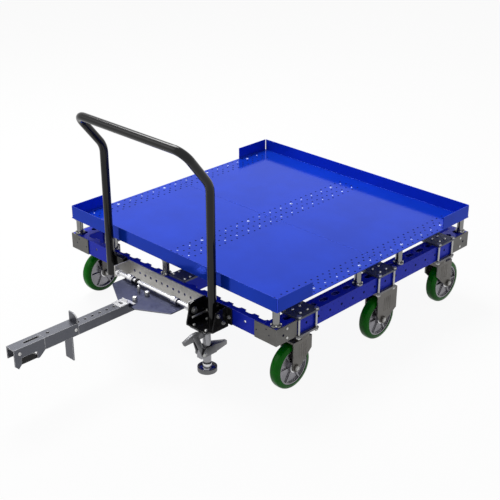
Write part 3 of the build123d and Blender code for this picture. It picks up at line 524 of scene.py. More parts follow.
class Shape:
    """A mesh under construction, in metres and in the cart's frame."""

    def __init__(self) -> None:
        """Start empty."""
        self.mesh = bmesh.new()

    def _take(self, part: bmesh.types.BMesh, seat: Vector, axis: Vector) -> "Shape":
        """Turn a part from +Z to an axis, move it to its seat and join it on."""
        turn = UP.rotation_difference(axis).to_matrix().to_4x4()
        bmesh.ops.transform(part, matrix=Matrix.Translation(seat) @ turn, verts=part.verts)
        store = bpy.data.meshes.new("part")
        part.to_mesh(store)
        part.free()
        self.mesh.from_mesh(store)
        bpy.data.meshes.remove(store)
        return self

    def turned(self, seat: Vector, axis: Vector, profile: Profile, closed: bool = False, steps: int = 32) -> "Shape":
        """Add a turned form.

        Args:
            seat: Where the profile's origin lies.
            axis: The axis of turning, along the profile's heights.
            profile: Radii and heights along the outline.
            closed: Whether the outline joins up, as a ring's does.
            steps: Facets round the form.

        Returns:
            The shape itself.
        """
        part = bmesh.new()
        points = [part.verts.new((radius, 0.0, height)) for radius, height in profile]
        pairs = list(zip(points, points[1:])) + ([(points[-1], points[0])] if closed else [])
        edges = [part.edges.new(pair) for pair in pairs]
        bmesh.ops.spin(part, geom=points + edges, cent=(0.0, 0.0, 0.0), axis=UP, angle=math.tau, steps=steps,
                       use_merge=True)
        bmesh.ops.remove_doubles(part, verts=part.verts, dist=1e-6)
        bmesh.ops.recalc_face_normals(part, faces=part.faces)
        return self._take(part, seat, axis)

    def rod(self, start: Vector, end: Vector, radius: float, round_off: float = 0.0005, rounds: int = 2,
            sides: int = 24) -> "Shape":
        """Add a round bar with rounded ends.

        Args:
            start: Middle of one end.
            end: Middle of the other end.
            radius: The bar's radius.
            round_off: How far the ends' rims are rounded.
            rounds: Facets across a rounded rim.
            sides: Facets round the bar.

        Returns:
            The shape itself.
        """
        part = bmesh.new()
        along = end - start
        bmesh.ops.create_cone(part, cap_ends=True, segments=sides, radius1=radius, radius2=radius, depth=along.length)
        rims = [edge for edge in part.edges if abs(edge.verts[0].co.z - edge.verts[1].co.z) < 1e-7]
        soften(part, rims, round_off, rounds)
        return self._take(part, (start + end) / 2.0, along.normalized())

    def hexagon(self, seat: Vector, axis: Vector, across: float, height: float) -> "Shape":
        """Add a hexagon head with a chamfered crown, standing on its seat."""
        part = bmesh.new()
        corner = across / math.sqrt(3.0)
        bmesh.ops.create_cone(part, cap_ends=True, segments=6, radius1=corner, radius2=corner, depth=height)
        bmesh.ops.translate(part, vec=(0.0, 0.0, height / 2.0), verts=part.verts)
        crown = [edge for edge in part.edges if min(vert.co.z for vert in edge.verts) > 0.9 * height]
        soften(part, crown, 0.16 * height)
        return self._take(part, seat, axis)

    def block(self, low: Vector, high: Vector, round_off: float) -> "Shape":
        """Add a block between two corners with its edges rounded."""
        part = bmesh.new()
        bmesh.ops.create_cube(part, size=1.0)
        bmesh.ops.scale(part, vec=high - low, verts=part.verts)
        soften(part, part.edges[:], round_off)
        return self._take(part, (low + high) / 2.0, UP)

    def profile(self, outline: Profile, left: float, right: float, round_off: float,
                lean: float = 0.0) -> "Shape":
        """Add a plate cut to a side outline.

        Args:
            outline: Points along and up, in order round the plate.
            left: Where the plate begins across the cart.
            right: Where it ends.
            round_off: How far its edges are rounded.
            lean: How far the plate leans across for each unit of height above its lowest point.

        Returns:
            The shape itself.
        """
        part = bmesh.new()
        side = part.faces.new([part.verts.new((left, along, height)) for along, height in outline])
        grown = bmesh.ops.extrude_face_region(part, geom=[side], use_keep_orig=True)
        moved = [item for item in grown["geom"] if isinstance(item, bmesh.types.BMVert)]
        bmesh.ops.translate(part, vec=(right - left, 0.0, 0.0), verts=moved)
        bmesh.ops.recalc_face_normals(part, faces=part.faces)
        soften(part, part.edges[:], round_off)
        foot = min(height for _, height in outline)
        shear = Matrix.Identity(4)
        shear[0][2], shear[0][3] = lean, -lean * foot
        bmesh.ops.transform(part, matrix=shear, verts=part.verts)
        return self._take(part, Vector(), UP)

    def wedge(self, root: tuple[Vector, Vector], tip: tuple[Vector, Vector], round_off: float) -> "Shape":
        """Add a bar that tapers from one rectangle to another, each given by its low and high corner."""
        part = bmesh.new()
        for low, high in (root, tip):
            for across, height in itertools.product((low.x, high.x), (low.z, high.z)):
                part.verts.new((across, low.y, height))
        bmesh.ops.convex_hull(part, input=part.verts[:])
        bmesh.ops.recalc_face_normals(part, faces=part.faces)
        bmesh.ops.dissolve_limit(part, angle_limit=0.01, verts=part.verts[:], edges=part.edges[:])
        soften(part, part.edges[:], round_off)
        return self._take(part, Vector(), UP)

    def hole(self, seat: Vector, axis: Vector, radius: float, sides: int = 10) -> "Shape":
        """Add a dished disc of painted shade, standing a hair off its face, for the dark mouth of a hole."""
        part = bmesh.new()
        bmesh.ops.create_circle(part, cap_ends=True, radius=radius, segments=sides)
        dish = bmesh.ops.inset_region(part, faces=part.faces[:], thickness=0.25 * radius, depth=-0.00012)
        bmesh.ops.recalc_face_normals(part, faces=dish["faces"])
        return self._take(part, seat + axis * HOLE_LIFT, axis)

    def piece(self, name: str, finish: Finish, body: str = Body.CHASSIS.value,
              slot: Optional[Slot] = None) -> bpy.types.Object:
        """Turn the shape into a piece that rides on a body.

        Args:
            name: The piece's name.
            finish: Its finish.
            body: The body that carries it.
            slot: The record's slot that its finish stands for; not used.

        Returns:
            The piece.
        """
        data = bpy.data.meshes.new(name)
        self.mesh.to_mesh(data)
        self.mesh.free()
        data.shade_smooth()
        data.set_sharp_from_angle(angle=SHARP_ANGLE)
        data.materials.append(finish.material())
        made = bpy.data.objects.new(name, data)
        bpy.context.scene.collection.objects.link(made)
        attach(made, body)
        LOG.info("piece %s on %s, %d faces", name, body, len(data.polygons))
        return made


@dataclass(frozen=True)
class Fastener:
    """A bolt or screw as it shows on a face: its head on a washer."""

    head: Head
    across: float
    height: float
    washer: float = 0.0
    washer_height: float = 0.0015

    def fit(self, shape: Shape, seat: Vector, axis: Vector) -> None:
        """Add the fastener to a shape.

        Args:
            shape: The shape that takes it.
            seat: The point on the face.
            axis: The way that the face looks.
        """
        if self.washer:
            rim = self.washer / 2.0
            shape.turned(seat, axis, ((0.0, SUNK), (rim, SUNK), (rim, 0.7 * self.washer_height),
                                      (0.9 * rim, self.washer_height), (0.0, self.washer_height)), steps=20)
            seat = seat + axis * self.washer_height * 0.9
        radius = self.across / 2.0
        if self.head is Head.HEXAGON:
            shape.hexagon(seat, axis, self.across, self.height)
        else:
            shape.turned(seat, axis, ((0.0, SUNK), (radius, SUNK), (radius, 0.25 * self.height),
                                      (0.86 * radius, 0.66 * self.height), (0.55 * radius, self.height),
                                      (0.42 * radius, self.height), (0.36 * radius, 0.55 * self.height),
                                      (0.0, 0.5 * self.height)), steps=18)

    def row(self, shape: Shape, seats: Sequence[Vector], axis: Vector) -> None:
        """Add the fastener at several places on one face."""
        for seat in seats:
            self.fit(shape, seat, axis)


def corners(centre: Vector, half_x: float, half_y: float) -> Iterator[Vector]:
    """Give the four corners of a level rectangle round a centre."""
    for side in SIDES:
        for end in SIDES:
            yield centre + Vector((side * half_x, end * half_y, 0.0))


def middle(node: str) -> Vector:
    """Give the middle of a solid's box."""
    low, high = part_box(node)
    return (Vector(low) + Vector(high)) / 2.0


@dataclass
class Caster:
    """One caster: the tread, the bearing shields, the fork's pressed beads and the axle's ends."""

    berth: Berth
    tread_radius: float = 0.098
    tread_bore: float = 0.077
    tread_half: float = 0.023
    boss_half: float = 0.027
    leg_face: float = 0.035
    axle_head: float = 0.008
    bead_radius: float = 0.0042
    bead_places: tuple[float, ...] = (-0.0195, -0.0065, 0.0065, 0.0195)
    bead_drop: float = 0.066
    bead_top: float = 0.100
    bead_sink: float = 0.0024

    def tread(self) -> bpy.types.Object:
        """Spin the rounded tread and let it stand for the plain one."""
        half, rim, bore = self.tread_half, self.tread_radius, self.tread_bore
        face = ((bore, half), (0.0812, half), (0.0830, half - 0.0010), (0.0866, half - 0.0016), (0.0905, 0.0203),
                (0.0938, 0.0178), (0.0962, 0.0144), (0.0975, 0.0103), (rim, 0.0050))
        profile = list(face) + [(radius, -across) for radius, across in reversed(face)]
        node = f"tyre_{self.berth.value}"
        made = Shape().turned(middle(node), ACROSS, profile, closed=True, steps=72).piece(
            f"tread_{self.berth.value}", FINISHES[Slot.GREEN_TREAD], f"wheel_{self.berth.value}", Slot.GREEN_TREAD)
        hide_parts(node)
        return made

    def shields(self) -> bpy.types.Object:
        """Turn the pressed bearing shields at both ends of the hub's boss."""
        shape = Shape()
        for side in SIDES:
            seat = middle(f"tyre_{self.berth.value}") + ACROSS * side * self.boss_half
            shape.turned(seat, ACROSS * side, ((0.0095, SUNK), (0.0225, SUNK), (0.0225, 0.0004), (0.0210, 0.0010),
                                               (0.0165, 0.0010), (0.0155, 0.0004), (0.0125, 0.0004),
                                               (0.0115, 0.0011), (0.0095, 0.0011)), closed=True, steps=36)
        return shape.piece(f"bearing_shields_{self.berth.value}", FINISHES[Slot.BRIGHT_STEEL],
                           f"wheel_{self.berth.value}", Slot.BRIGHT_STEEL)

    def beads(self) -> bpy.types.Object:
        """Press upright beads into each leg of the fork."""
        shape = Shape()
        low, high = (Vector(corner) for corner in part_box(self.berth.fork_node))
        axle = middle(f"tyre_{self.berth.value}")
        crown = (low.y + high.y) / 2.0
        top = axle.z + self.bead_top
        for side in SIDES:
            for place in self.bead_places:
                foot = Vector((axle.x + side * (self.leg_face - self.bead_sink), crown + place, top - self.bead_drop))
                head = Vector((foot.x, foot.y, top))
                shape.rod(foot, head, self.bead_radius, round_off=0.9 * self.bead_radius, rounds=4, sides=20)
        return shape.piece(f"fork_beads_{self.berth.value}", FINISHES[Slot.FORK_ZINC], self.berth.fork_body,
                           Slot.FORK_ZINC)

    def axle(self) -> bpy.types.Object:
        """Turn the threaded stubs on the axle's heads."""
        shape = Shape()
        hub = middle(f"tyre_{self.berth.value}")
        for side in SIDES:
            way = ACROSS * side
            stub = hub + way * (self.leg_face + self.axle_head)
            shape.turned(stub, way, ((0.0, SUNK), (0.0095, SUNK), (0.0090, 0.0009), (0.0062, 0.0012),
                                     (0.0062, 0.0030), (0.0054, 0.0038), (0.0, 0.0038)), steps=24)
        return shape.piece(f"axle_ends_{self.berth.value}", STUD_ZINC, self.berth.fork_body)

    def build(self) -> None:
        """Make all of the caster's pieces."""
        self.tread()
        self.shields()
        self.beads()
        self.axle()


@dataclass
class Frame:
    """The beam frame's small things: clamp, bracket and joint bolts, and dark discs of painted shade for the holes
    along the beams.
    """

    clamp_bolt: Fastener = Fastener(Head.BUTTON, 0.011, 0.0045)
    bracket_bolt: Fastener = Fastener(Head.BUTTON, 0.011, 0.0035)
    joint_bolt: Fastener = Fastener(Head.BUTTON, 0.011, 0.0045)
    clamp_reach: float = 0.020
    plate_top: float = 0.322
    centre_y: float = 0.375
    bracket_face: float = 0.630
    beam_face: float = 0.625
    beam_inner: float = 0.555
    bracket_seats: Places = ((0.570, 0.300), (0.570, 0.260))
    bracket_hole: tuple[float, float] = (0.591, 0.2785)
    front_pits: Places = ((0.525, 0.279), (0.577, 0.300), (0.592, 0.279))
    joint_plate: tuple[float, float] = (0.050, 0.5485)
    joint_spreads: Places = ((0.034, 0.044), (0.034, 0.015))
    module: float = 0.070
    modules: int = 14
    hole_reach: float = 0.019
    hole_radius: float = 0.0055
    pip_radius: float = 0.0016
    pit_radius: float = 0.0032
    beam_axis: float = 0.279

    def clamps(self) -> bpy.types.Object:
        """Fit the four inner bolts of each caster clamp."""
        shape = Shape()
        for berth in Berth:
            centre = middle(f"axle_{berth.value}")
            along = frame_centre(berth)
            spot = Vector((centre.x, along, self.plate_top))
            self.clamp_bolt.row(shape, list(corners(spot, self.clamp_reach, self.clamp_reach)), UP)
        return shape.piece("clamp_inner_bolts", BOLT_ZINC)

    def brackets(self) -> bpy.types.Object:
        """Fit the bolts on the flanks of the four corner brackets."""
        shape = Shape()
        for side in SIDES:
            for end in SIDES:
                for reach, height in self.bracket_seats:
                    flank = Vector((side * self.bracket_face, self.centre_y + end * reach, height))
                    self.bracket_bolt.fit(shape, flank, ACROSS * side)
        return shape.piece("bracket_bolts", BOLT_ZINC)

    def joints(self) -> bpy.types.Object:
        """Fit the bolts of the two plates over the centre beam's ends."""
        shape = Shape()
        across, along = self.joint_plate
        for end in SIDES:
            spot = Vector((across, self.centre_y + end * along, self.plate_top))
            for spread in self.joint_spreads:
                self.joint_bolt.row(shape, list(corners(spot, *spread)), UP)
        return shape.piece("joint_plate_bolts", BOLT_ZINC)

    def holes(self) -> bpy.types.Object:
        """Lay dark discs of painted shade for the small holes along the beams' faces, four round one in each module.
        """
        shape = Shape()
        pips = [(a * self.hole_reach, b * self.hole_reach, self.pip_radius) for a in SIDES for b in SIDES]
        start = -(self.modules - 1) / 2.0
        for side in SIDES:
            for count in range(self.modules):
                run = (start + count) * self.module
                for along, rise, radius in [(0.0, 0.0, self.hole_radius)] + pips:
                    for face, way in ((self.beam_face, 1), (self.beam_inner, -1)):
                        shape.hole(Vector((side * face, self.centre_y + run + along, self.beam_axis + rise)),
                                   ACROSS * side * way, radius)
                    shape.hole(Vector((run + along, self.centre_y + self.beam_face, self.beam_axis + rise)), BACK,
                               radius)
            reach, height = self.bracket_hole
            for end in SIDES:
                shape.hole(Vector((side * self.bracket_face, self.centre_y + end * reach, height)), ACROSS * side,
                           self.hole_radius, sides=16)
            for reach, height in self.front_pits:
                shape.hole(Vector((side * reach, self.centre_y - self.bracket_face, height)), -BACK,
                           self.pit_radius)
        return shape.piece("beam_hole_shade", HOLE_SHADE)

    def build(self) -> None:
        """Make all of the frame's pieces."""
        self.clamps()
        self.brackets()
        self.joints()
        self.holes()


def frame_centre(berth: Berth) -> float:
    """Give where a caster's king pin stands along the cart."""
    for joint in frame["joints"]:
        if joint["name"] == f"swivel_{berth.value}":
            return joint["pos_m"][1]
    return middle(f"axle_{berth.value}").y


@dataclass
class Deck:
    """The deck's bolts, dark discs of painted shade for its rows of small holes, and the screws in its posts' feet.
    """

    bolt: Fastener = Fastener(Head.BUTTON, 0.015, 0.0040)
    screw: Fastener = Fastener(Head.BUTTON, 0.0085, 0.0020)
    foot_screw: Fastener = Fastener(Head.BUTTON, 0.0075, 0.0040)
    top: float = 0.388
    columns: tuple[float, ...] = (-0.595, -0.035, 0.035, 0.595)
    first_row: float = -0.150
    rows: int = 16
    module: float = 0.070
    bolt_rows: tuple[int, ...] = (2, 6, 10, 14)
    screwed_column: float = 0.035
    edge_strip: float = 0.5
    hole_reach: float = 0.019
    hole_radius: float = 0.0042
    posts: Places = (
        (-0.6025, -0.2275), (0.6025, -0.2275), (-0.6025, 0.9775), (0.6025, 0.9775),
        (-0.6025, 0.253), (0.6025, 0.253), (-0.6025, 0.525), (0.6025, 0.525),
        (-0.363, -0.2275), (-0.020, -0.2275), (-0.363, 0.9775), (-0.020, 0.9775))
    foot_top: float = 0.321
    foot_reach: float = 0.0182

    def bolts(self) -> bpy.types.Object:
        """Fit the bolts and the small screws at the middle of the deck's modules."""
        shape = Shape()
        for column in self.columns:
            for row in range(self.rows):
                large = row in self.bolt_rows and column != self.screwed_column
                seat = Vector((column, self.first_row + row * self.module, self.top))
                (self.bolt if large else self.screw).fit(shape, seat, UP)
        # The deck's bolt heads carry a painted reflection of the blue deck.
        return shape.piece("deck_bolts", BOLT_ZINC_BLUE_REFLECTION)

    def holes(self) -> bpy.types.Object:
        """Lay dark discs of painted shade for the small holes round the deck's bolts and screws."""
        shape = Shape()
        reach = self.hole_reach
        ring = [(a * reach, b * reach) for a in SIDES for b in SIDES]
        for column in self.columns:
            inward = -math.copysign(1.0, column) if abs(column) > self.edge_strip else 0.0
            spread = ring + ([(2.0 * inward * reach, 0.0), (3.0 * inward * reach, -reach),
                              (3.0 * inward * reach, reach)] if inward else [])
            for row in range(self.rows):
                for across, along in spread:
                    seat = Vector((column + across, self.first_row + row * self.module + along, self.top))
                    shape.hole(seat, UP, self.hole_radius)
        return shape.piece("deck_hole_shade", HOLE_SHADE)

    def feet(self) -> bpy.types.Object:
        """Fit four screws in each post's flanged foot."""
        shape = Shape()
        for across, along in self.posts:
            seats = list(corners(Vector((across, along, self.foot_top)), self.foot_reach / math.sqrt(2.0),
                                 self.foot_reach / math.sqrt(2.0)))
            self.foot_screw.row(shape, seats, UP)
        return shape.piece("post_foot_screws", BOLT_ZINC)

    def build(self) -> None:
        """Make all of the deck's pieces."""
        self.bolts()
        self.holes()
        self.feet()


@dataclass
class HandleMount:
    """The push handle's feet: the left bracket, the right one's bolts, the draw bolt and the shaft's nut."""

    bolt: Fastener = Fastener(Head.HEXAGON, 0.013, 0.006, washer=0.017)
    draw_head: Fastener = Fastener(Head.HEXAGON, 0.014, 0.007)
    shaft_nut: Fastener = Fastener(Head.HEXAGON, 0.020, 0.009, washer=0.030, washer_height=0.0025)
    gusset_face: float = 0.368
    gusset_seats: Places = ((-0.304, 0.294), (-0.278, 0.256))
    plate_seat: tuple[float, float] = (0.379, 0.276)
    inner_face: float = 0.248
    back_plate: float = -0.256
    shaft: tuple[float, float] = (-0.319, 0.282)
    left_inner: float = -0.2425
    left_outer: float = -0.3420
    left_top: float = 0.3215
    left_foot: float = 0.2442
    left_back: float = -0.2501
    gusset_wall: float = 0.006
    gusset: Places = ((-0.2545, 0.2450), (-0.2690, 0.2720), (-0.2690, 0.3215), (-0.2545, 0.3215))
    saddle: Vector = field(default_factory=lambda: Vector((-0.3325, -0.2760, 0.2720)))
    saddle_back: float = -0.2540
    post_foot: Vector = field(default_factory=lambda: Vector((-0.315, -0.285, 0.2280)))
    cap: Places = ((0.0, 0.0), (0.0120, 0.0), (0.0160, 0.0020), (0.0174, 0.0062), (0.0, 0.0062))
    draw_radius: float = 0.0048
    draw_from: Vector = field(default_factory=lambda: Vector((0.256, -0.339, 0.259)))

    def bolts(self) -> bpy.types.Object:
        """Fit the bolts on the right bracket's outer gusset and back plate."""
        shape = Shape()
        for along, height in self.gusset_seats:
            self.bolt.fit(shape, Vector((self.gusset_face, along, height)), ACROSS)
        across, height = self.plate_seat
        self.bolt.fit(shape, Vector((across, self.back_plate, height)), -BACK)
        return shape.piece("handle_bracket_bolts", BOLT_GREY)

    def left_bracket(self) -> bpy.types.Object:
        """Cut the left bracket, with its saddle block behind the post, and the post's end cap."""
        shape = Shape()
        inner, top = self.left_inner, self.left_top
        shape.block(Vector((self.left_outer, self.back_plate, self.left_foot)), Vector((inner, self.left_back, top)),
                    0.0012)
        shape.profile(self.gusset, inner - self.gusset_wall, inner, 0.0010)
        shape.block(self.saddle, Vector((inner, self.saddle_back, top)), 0.0015)
        shape.turned(self.post_foot, UP, self.cap, steps=36)
        made = shape.piece("handle_left_bracket", FINISHES[Slot.BLACK_PAINT], Body.CHASSIS.value, Slot.BLACK_PAINT)
        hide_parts("handle_bracket_left")
        return made

    def draw_bolt(self) -> bpy.types.Object:
        """Turn the draw bolt that lies in the right bracket."""
        shape = Shape()
        tail = Vector((self.draw_from.x, self.back_plate, self.draw_from.z))
        shape.rod(self.draw_from, tail, self.draw_radius, round_off=0.0010)
        self.draw_head.fit(shape, tail, -BACK)
        return shape.piece("bracket_draw_bolt", STUD_ZINC)

    def nut(self) -> bpy.types.Object:
        """Fit the nut behind the hinge shaft on the bracket's inner gusset."""
        shape = Shape()
        self.shaft_nut.fit(shape, Vector((self.inner_face, *self.shaft)), ACROSS)
        return shape.piece("hinge_shaft_nut", BOLT_GREY)

    def build(self) -> None:
        """Make all of the handle mount's pieces."""
        self.left_bracket()
        self.bolts()
        self.draw_bolt()
        self.nut()


@dataclass
class TowHinge:
    """The dark stop ring and the bright sleeves that turn on the hinge shaft with the tow plate."""

    shaft: Vector = field(default_factory=lambda: Vector((0.0, -0.319, 0.282)))
    ring_at: float = -0.0975
    knuckle_at: float = 0.137
    knuckle_half: float = 0.0148

    def ring(self) -> bpy.types.Object:
        """Turn the dark stop ring."""
        return Shape().turned(self.shaft + ACROSS * self.ring_at, ACROSS, (
            (0.0093, -0.005), (0.0125, -0.005), (0.0135, -0.004), (0.0135, 0.004), (0.0125, 0.005), (0.0093, 0.005)),
            closed=True, steps=36).piece("hinge_stop_ring", FINISHES[Slot.BLACK_LATCH], Body.TOW_BAR.value,
                                         Slot.BLACK_LATCH)

    def sleeves(self) -> bpy.types.Object:
        """Turn a bright sleeve round each of the tow plate's knuckles."""
        shape = Shape()
        half = self.knuckle_half
        for side in SIDES:
            shape.turned(self.shaft + ACROSS * side * self.knuckle_at, ACROSS, (
                (0.0138, -half), (0.0142, -half), (0.0148, -0.95 * half), (0.0148, -0.35 * half),
                (0.0144, -0.30 * half), (0.0144, 0.30 * half), (0.0148, 0.35 * half), (0.0148, 0.95 * half),
                (0.0142, half), (0.0138, half)), closed=True, steps=40)
        return shape.piece("knuckle_sleeves", FINISHES[Slot.BRIGHT_STEEL], Body.TOW_BAR.value, Slot.BRIGHT_STEEL)

    def build(self) -> None:
        """Make all of the hinge's pieces."""
        self.ring()
        self.sleeves()


@dataclass
class TowBar:
    """The tow bar's bolts and coupling pins."""

    plate_bolt: Fastener = Fastener(Head.HEXAGON, 0.019, 0.020)
    stop_bolt: Fastener = Fastener(Head.HEXAGON, 0.012, 0.030)
    stop_seat: tuple[float, float] = (-0.048, -0.354)
    pin: Fastener = Fastener(Head.BUTTON, 0.015, 0.0045)
    plate_top: float = 0.2665
    tube_side: float = 0.025
    plate_seats: tuple[float, ...] = (-0.415, -0.351)
    pin_seats: Places = ((-0.982, 0.271), (-0.727, 0.268))

    def bolts(self) -> bpy.types.Object:
        """Fit the two bolts on the tow plate's middle line and the slim stop bolt beside them."""
        shape = Shape()
        for along in self.plate_seats:
            self.plate_bolt.fit(shape, Vector((0.0, along, self.plate_top)), UP)
        self.stop_bolt.fit(shape, Vector((*self.stop_seat, self.plate_top)), UP)
        return shape.piece("tow_plate_bolts", BOLT_ZINC, Body.TOW_BAR.value)

    def pins(self) -> bpy.types.Object:
        """Fit the pins on both cheeks of the coupling."""
        shape = Shape()
        for side in SIDES:
            for along, height in self.pin_seats:
                self.pin.fit(shape, Vector((side * self.tube_side, along, height)), ACROSS * side)
        return shape.piece("coupling_pins", BOLT_ZINC, Body.TOW_BAR.value)

    def build(self) -> None:
        """Make all of the tow bar's pieces."""
        self.bolts()
        self.pins()


@dataclass
class FloorLock:
    """The floor lock's levers, pins and flange bolts, and the sleeve and plate on its pad."""

    axis: tuple[float, float] = (0.305, -0.308)
    flange_top: float = 0.234
    flange_reach: float = 0.034
    flange_bolt: Fastener = Fastener(Head.HEXAGON, 0.010, 0.004, washer=0.014)
    pivot: tuple[float, float] = (-0.340, 0.118)
    pivot_half: float = 0.0226
    pivot_head: Fastener = Fastener(Head.BUTTON, 0.017, 0.0045, washer=0.021)
    blade_half: float = 0.006
    blade: Places = (
        (-0.435, 0.2035), (-0.386, 0.2210), (-0.360, 0.2210), (-0.327, 0.2080), (-0.3255, 0.1860), (-0.358, 0.1850),
        (-0.386, 0.1860), (-0.428, 0.1860))
    strut: Places = (
        (-0.384, 0.2050), (-0.357, 0.2050), (-0.331, 0.1250), (-0.332, 0.1100), (-0.340, 0.1060), (-0.350, 0.1130))
    strut_foot: float = 0.0134
    strut_wall: float = 0.0045
    strut_lean: float = 0.105
    cheek: Places = (
        (-0.351, 0.1130), (-0.347, 0.1250), (-0.332, 0.1420), (-0.292, 0.1450), (-0.276, 0.1440), (-0.275, 0.1050),
        (-0.322, 0.1050), (-0.345, 0.1060))
    cheek_from: float = 0.0181
    cheek_wall: float = 0.0045
    rear_root: tuple[float, float, float] = (-0.2905, 0.1055, 0.1445)
    rear_tip: tuple[float, float, float] = (-0.2035, 0.1045, 0.1230)
    tip_half: float = 0.007

    def front_pedal(self) -> bpy.types.Object:
        """Cut the front pedal: a slim blade with its link, on two struts that spread to the pivot."""
        shape = Shape()
        across = self.axis[0]
        shape.profile(self.blade, across - self.blade_half, across + self.blade_half, 0.0014)
        for side in SIDES:
            inner = across + side * self.strut_foot
            shape.profile(self.strut, inner, inner + side * self.strut_wall, 0.0010, -side * self.strut_lean)
        made = shape.piece("lock_front_pedal", LEVER_STEEL)
        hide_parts("lock_pedal_front")
        return made

    def rear_pedal(self) -> bpy.types.Object:
        """Cut the rear pedal: two cheeks from the pivot past the column, and a tapered tread behind it."""
        shape = Shape()
        across = self.axis[0]
        for side in SIDES:
            inner = across + side * self.cheek_from
            shape.profile(self.cheek, inner, inner + side * self.cheek_wall, 0.0010)
        ends = ((self.cheek_from + self.cheek_wall, self.rear_root), (self.tip_half, self.rear_tip))
        root, tip = ((Vector((across - half, along, low)), Vector((across + half, along, high)))
                     for half, (along, low, high) in ends)
        shape.wedge(root, tip, 0.0012)
        made = shape.piece("lock_rear_pedal", LEVER_STEEL)
        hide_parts("lock_pedal_rear")
        return made

    def pins(self) -> bpy.types.Object:
        """Fit the pivot's heads and the bolts of the flange."""
        shape = Shape()
        across, along = self.axis
        for side in SIDES:
            self.pivot_head.fit(shape, Vector((across + side * self.pivot_half, *self.pivot)), ACROSS * side)
        self.flange_bolt.row(shape, list(corners(Vector((across, along, self.flange_top)), self.flange_reach,
                                                 self.flange_reach)), UP)
        return shape.piece("lock_pins", STUD_ZINC)

    def sleeve(self) -> bpy.types.Object:
        """Turn the bright sleeve round the pad's boss."""
        return Shape().turned(Vector((*self.axis, 0.0)), UP, (
            (0.0168, 0.0350), (0.0182, 0.0350), (0.0182, 0.0600), (0.0176, 0.0612), (0.0168, 0.0612)),
            closed=True, steps=40).piece("lock_boss_sleeve", FINISHES[Slot.BRIGHT_STEEL], Body.LOCK_FOOT.value,
                                         Slot.BRIGHT_STEEL)

    def plate(self) -> bpy.types.Object:
        """Turn the polished plate that closes the pad's dish."""
        return Shape().turned(Vector((*self.axis, 0.0)), UP, (
            (0.0178, 0.0385), (0.0332, 0.0385), (0.0332, 0.0405), (0.0320, 0.0412), (0.0178, 0.0412)), closed=True,
            steps=48).piece("lock_pad_plate", PAD_STEEL, Body.LOCK_FOOT.value)

    def build(self) -> None:
        """Make all of the lock's pieces."""
        self.front_pedal()
        self.rear_pedal()
        self.pins()
        self.sleeve()
        self.plate()


@dataclass
class Dressing:
    """Gives every solid of the cart the finish of its slot, or its own one."""

    finishes: Mapping[Slot, Finish]
    own: Mapping[str, Finish]

    def build(self) -> None:
        """Put the finishes on the solids."""
        for entry in frame["record"]["subparts"]:
            finish = self.own.get(entry["node"], self.finishes[Slot(entry["material_slot"])]).material()
            solid = frame["nodes"][entry["node"]]
            if not solid.material_slots:
                solid.data.materials.append(finish)
            for slot in solid.material_slots:
                slot.material = finish
            LOG.info("solid %s in %s", entry["node"], finish.name)


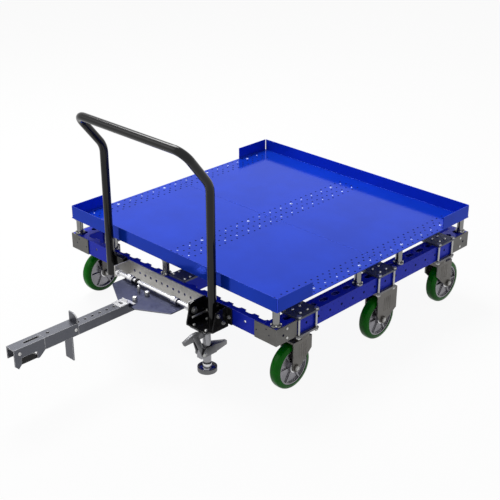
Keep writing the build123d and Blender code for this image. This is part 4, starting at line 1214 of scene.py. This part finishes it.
@dataclass
class Studio:
    """The pale floor, the soft lamps, the white surround and the camera."""

    eye: tuple[float, float, float] = (2.93325, -2.73375, 2.25335)
    right: tuple[float, float, float] = (0.71252, 0.70165, 0.0)
    upward: tuple[float, float, float] = (-0.30090, 0.30556, 0.90338)
    behind: tuple[float, float, float] = (0.63386, -0.64368, 0.42884)
    lens: float = 75.2
    floor_half: float = 30.0
    fill: float = 0.30
    glow: float = 0.93
    floor_lit: float = 0.6
    floor_seen: float = 0.9
    target: tuple[float, float, float] = (0.0, 0.2, 0.3)

    def camera(self) -> None:
        """Stand the camera at the photograph's place."""
        lens = bpy.data.cameras.new("camera")
        lens.lens, lens.sensor_width, lens.clip_end = self.lens, 36.0, 100.0
        made = bpy.data.objects.new("camera", lens)
        made.matrix_world = Matrix.Translation(self.eye) @ Matrix(
            (self.right, self.upward, self.behind)).transposed().to_4x4()
        bpy.context.scene.collection.objects.link(made)
        bpy.context.scene.camera = made

    def _seen(self, graph: Graph) -> Sock:
        """Give 1 for rays that show the surround, and 0 for rays that light by it."""
        shown, gloss, glass = (graph.node("ShaderNodeLightPath", out=f"Is {name} Ray")
                               for name in ("Camera", "Glossy", "Transmission"))
        return shown.peak(gloss).peak(glass)

    def floor(self) -> None:
        """Lay the pale floor, which keeps the cart's shadow."""
        part = bmesh.new()
        bmesh.ops.create_grid(part, x_segments=4, y_segments=4, size=self.floor_half)
        data = bpy.data.meshes.new("studio_floor")
        part.to_mesh(data)
        part.free()
        pale = bpy.data.materials.new("studio_floor")
        pale.use_nodes = True
        graph = Graph(pale.node_tree)
        seen = self._seen(graph)
        grey = graph.blend(seen, (self.floor_lit,) * 3, (self.floor_seen,) * 3)
        matt = graph.node("ShaderNodeBsdfDiffuse", {}, {"Color": grey})
        white = graph.node("ShaderNodeEmission", {}, {"Color": (1.0, 1.0, 1.0, 1.0), "Strength": 1.0})
        mixed = graph.node("ShaderNodeMixShader", {}, {0: seen * self.glow, 1: matt, 2: white})
        graph.node("ShaderNodeOutputMaterial", {}, {"Surface": mixed})
        data.materials.append(pale)
        made = bpy.data.objects.new("studio_floor", data)
        bpy.context.scene.collection.objects.link(made)

    def surround(self) -> None:
        """Make the world white to look at and dim as a light."""
        world = bpy.data.worlds.new("studio")
        world.use_nodes = True
        bpy.context.scene.world = world
        graph = Graph(world.node_tree)
        strength = self.fill + self._seen(graph) * (1.0 - self.fill)
        sky = graph.node("ShaderNodeBackground", {}, {"Color": (1.0, 1.0, 1.0, 1.0), "Strength": strength})
        graph.node("ShaderNodeOutputWorld", {}, {"Surface": sky})

    def lamp(self, name: str, place: Vector, size: float, watts: float) -> None:
        """Hang one soft square lamp that looks at the cart.

        Args:
            name: The lamp's name.
            place: Where it hangs.
            size: Its side.
            watts: Its power.
        """
        light = bpy.data.lights.new(name, "AREA")
        light.shape, light.size, light.energy = "SQUARE", size, watts
        made = bpy.data.objects.new(name, light)
        aim = Vector(self.target) - place
        made.matrix_world = Matrix.Translation(place) @ aim.to_track_quat("-Z", "Y").to_matrix().to_4x4()
        bpy.context.scene.collection.objects.link(made)

    def build(self) -> None:
        """Set up the whole studio."""
        bpy.context.scene.view_settings.view_transform = "Standard"
        self.camera()
        self.floor()
        self.surround()
        self.lamp("lamp_above", Vector((-2.0, 0.8, 4.2)), 2.4, 175.0)
        self.lamp("lamp_front", Vector((-2.4, -3.4, 3.4)), 3.0, 25.0)


def main() -> None:
    """Build the studio, dress the solids and add the cart's small pieces."""
    logging.basicConfig(level=logging.INFO, format="%(name)s: %(message)s")
    Studio().build()
    Dressing(FINISHES, OWN_FINISHES).build()
    Frame().build()
    for berth in Berth:
        Caster(berth).build()
    Deck().build()
    HandleMount().build()
    TowHinge().build()
    TowBar().build()
    FloorLock().build()


if __name__ == "__main__":
    main()
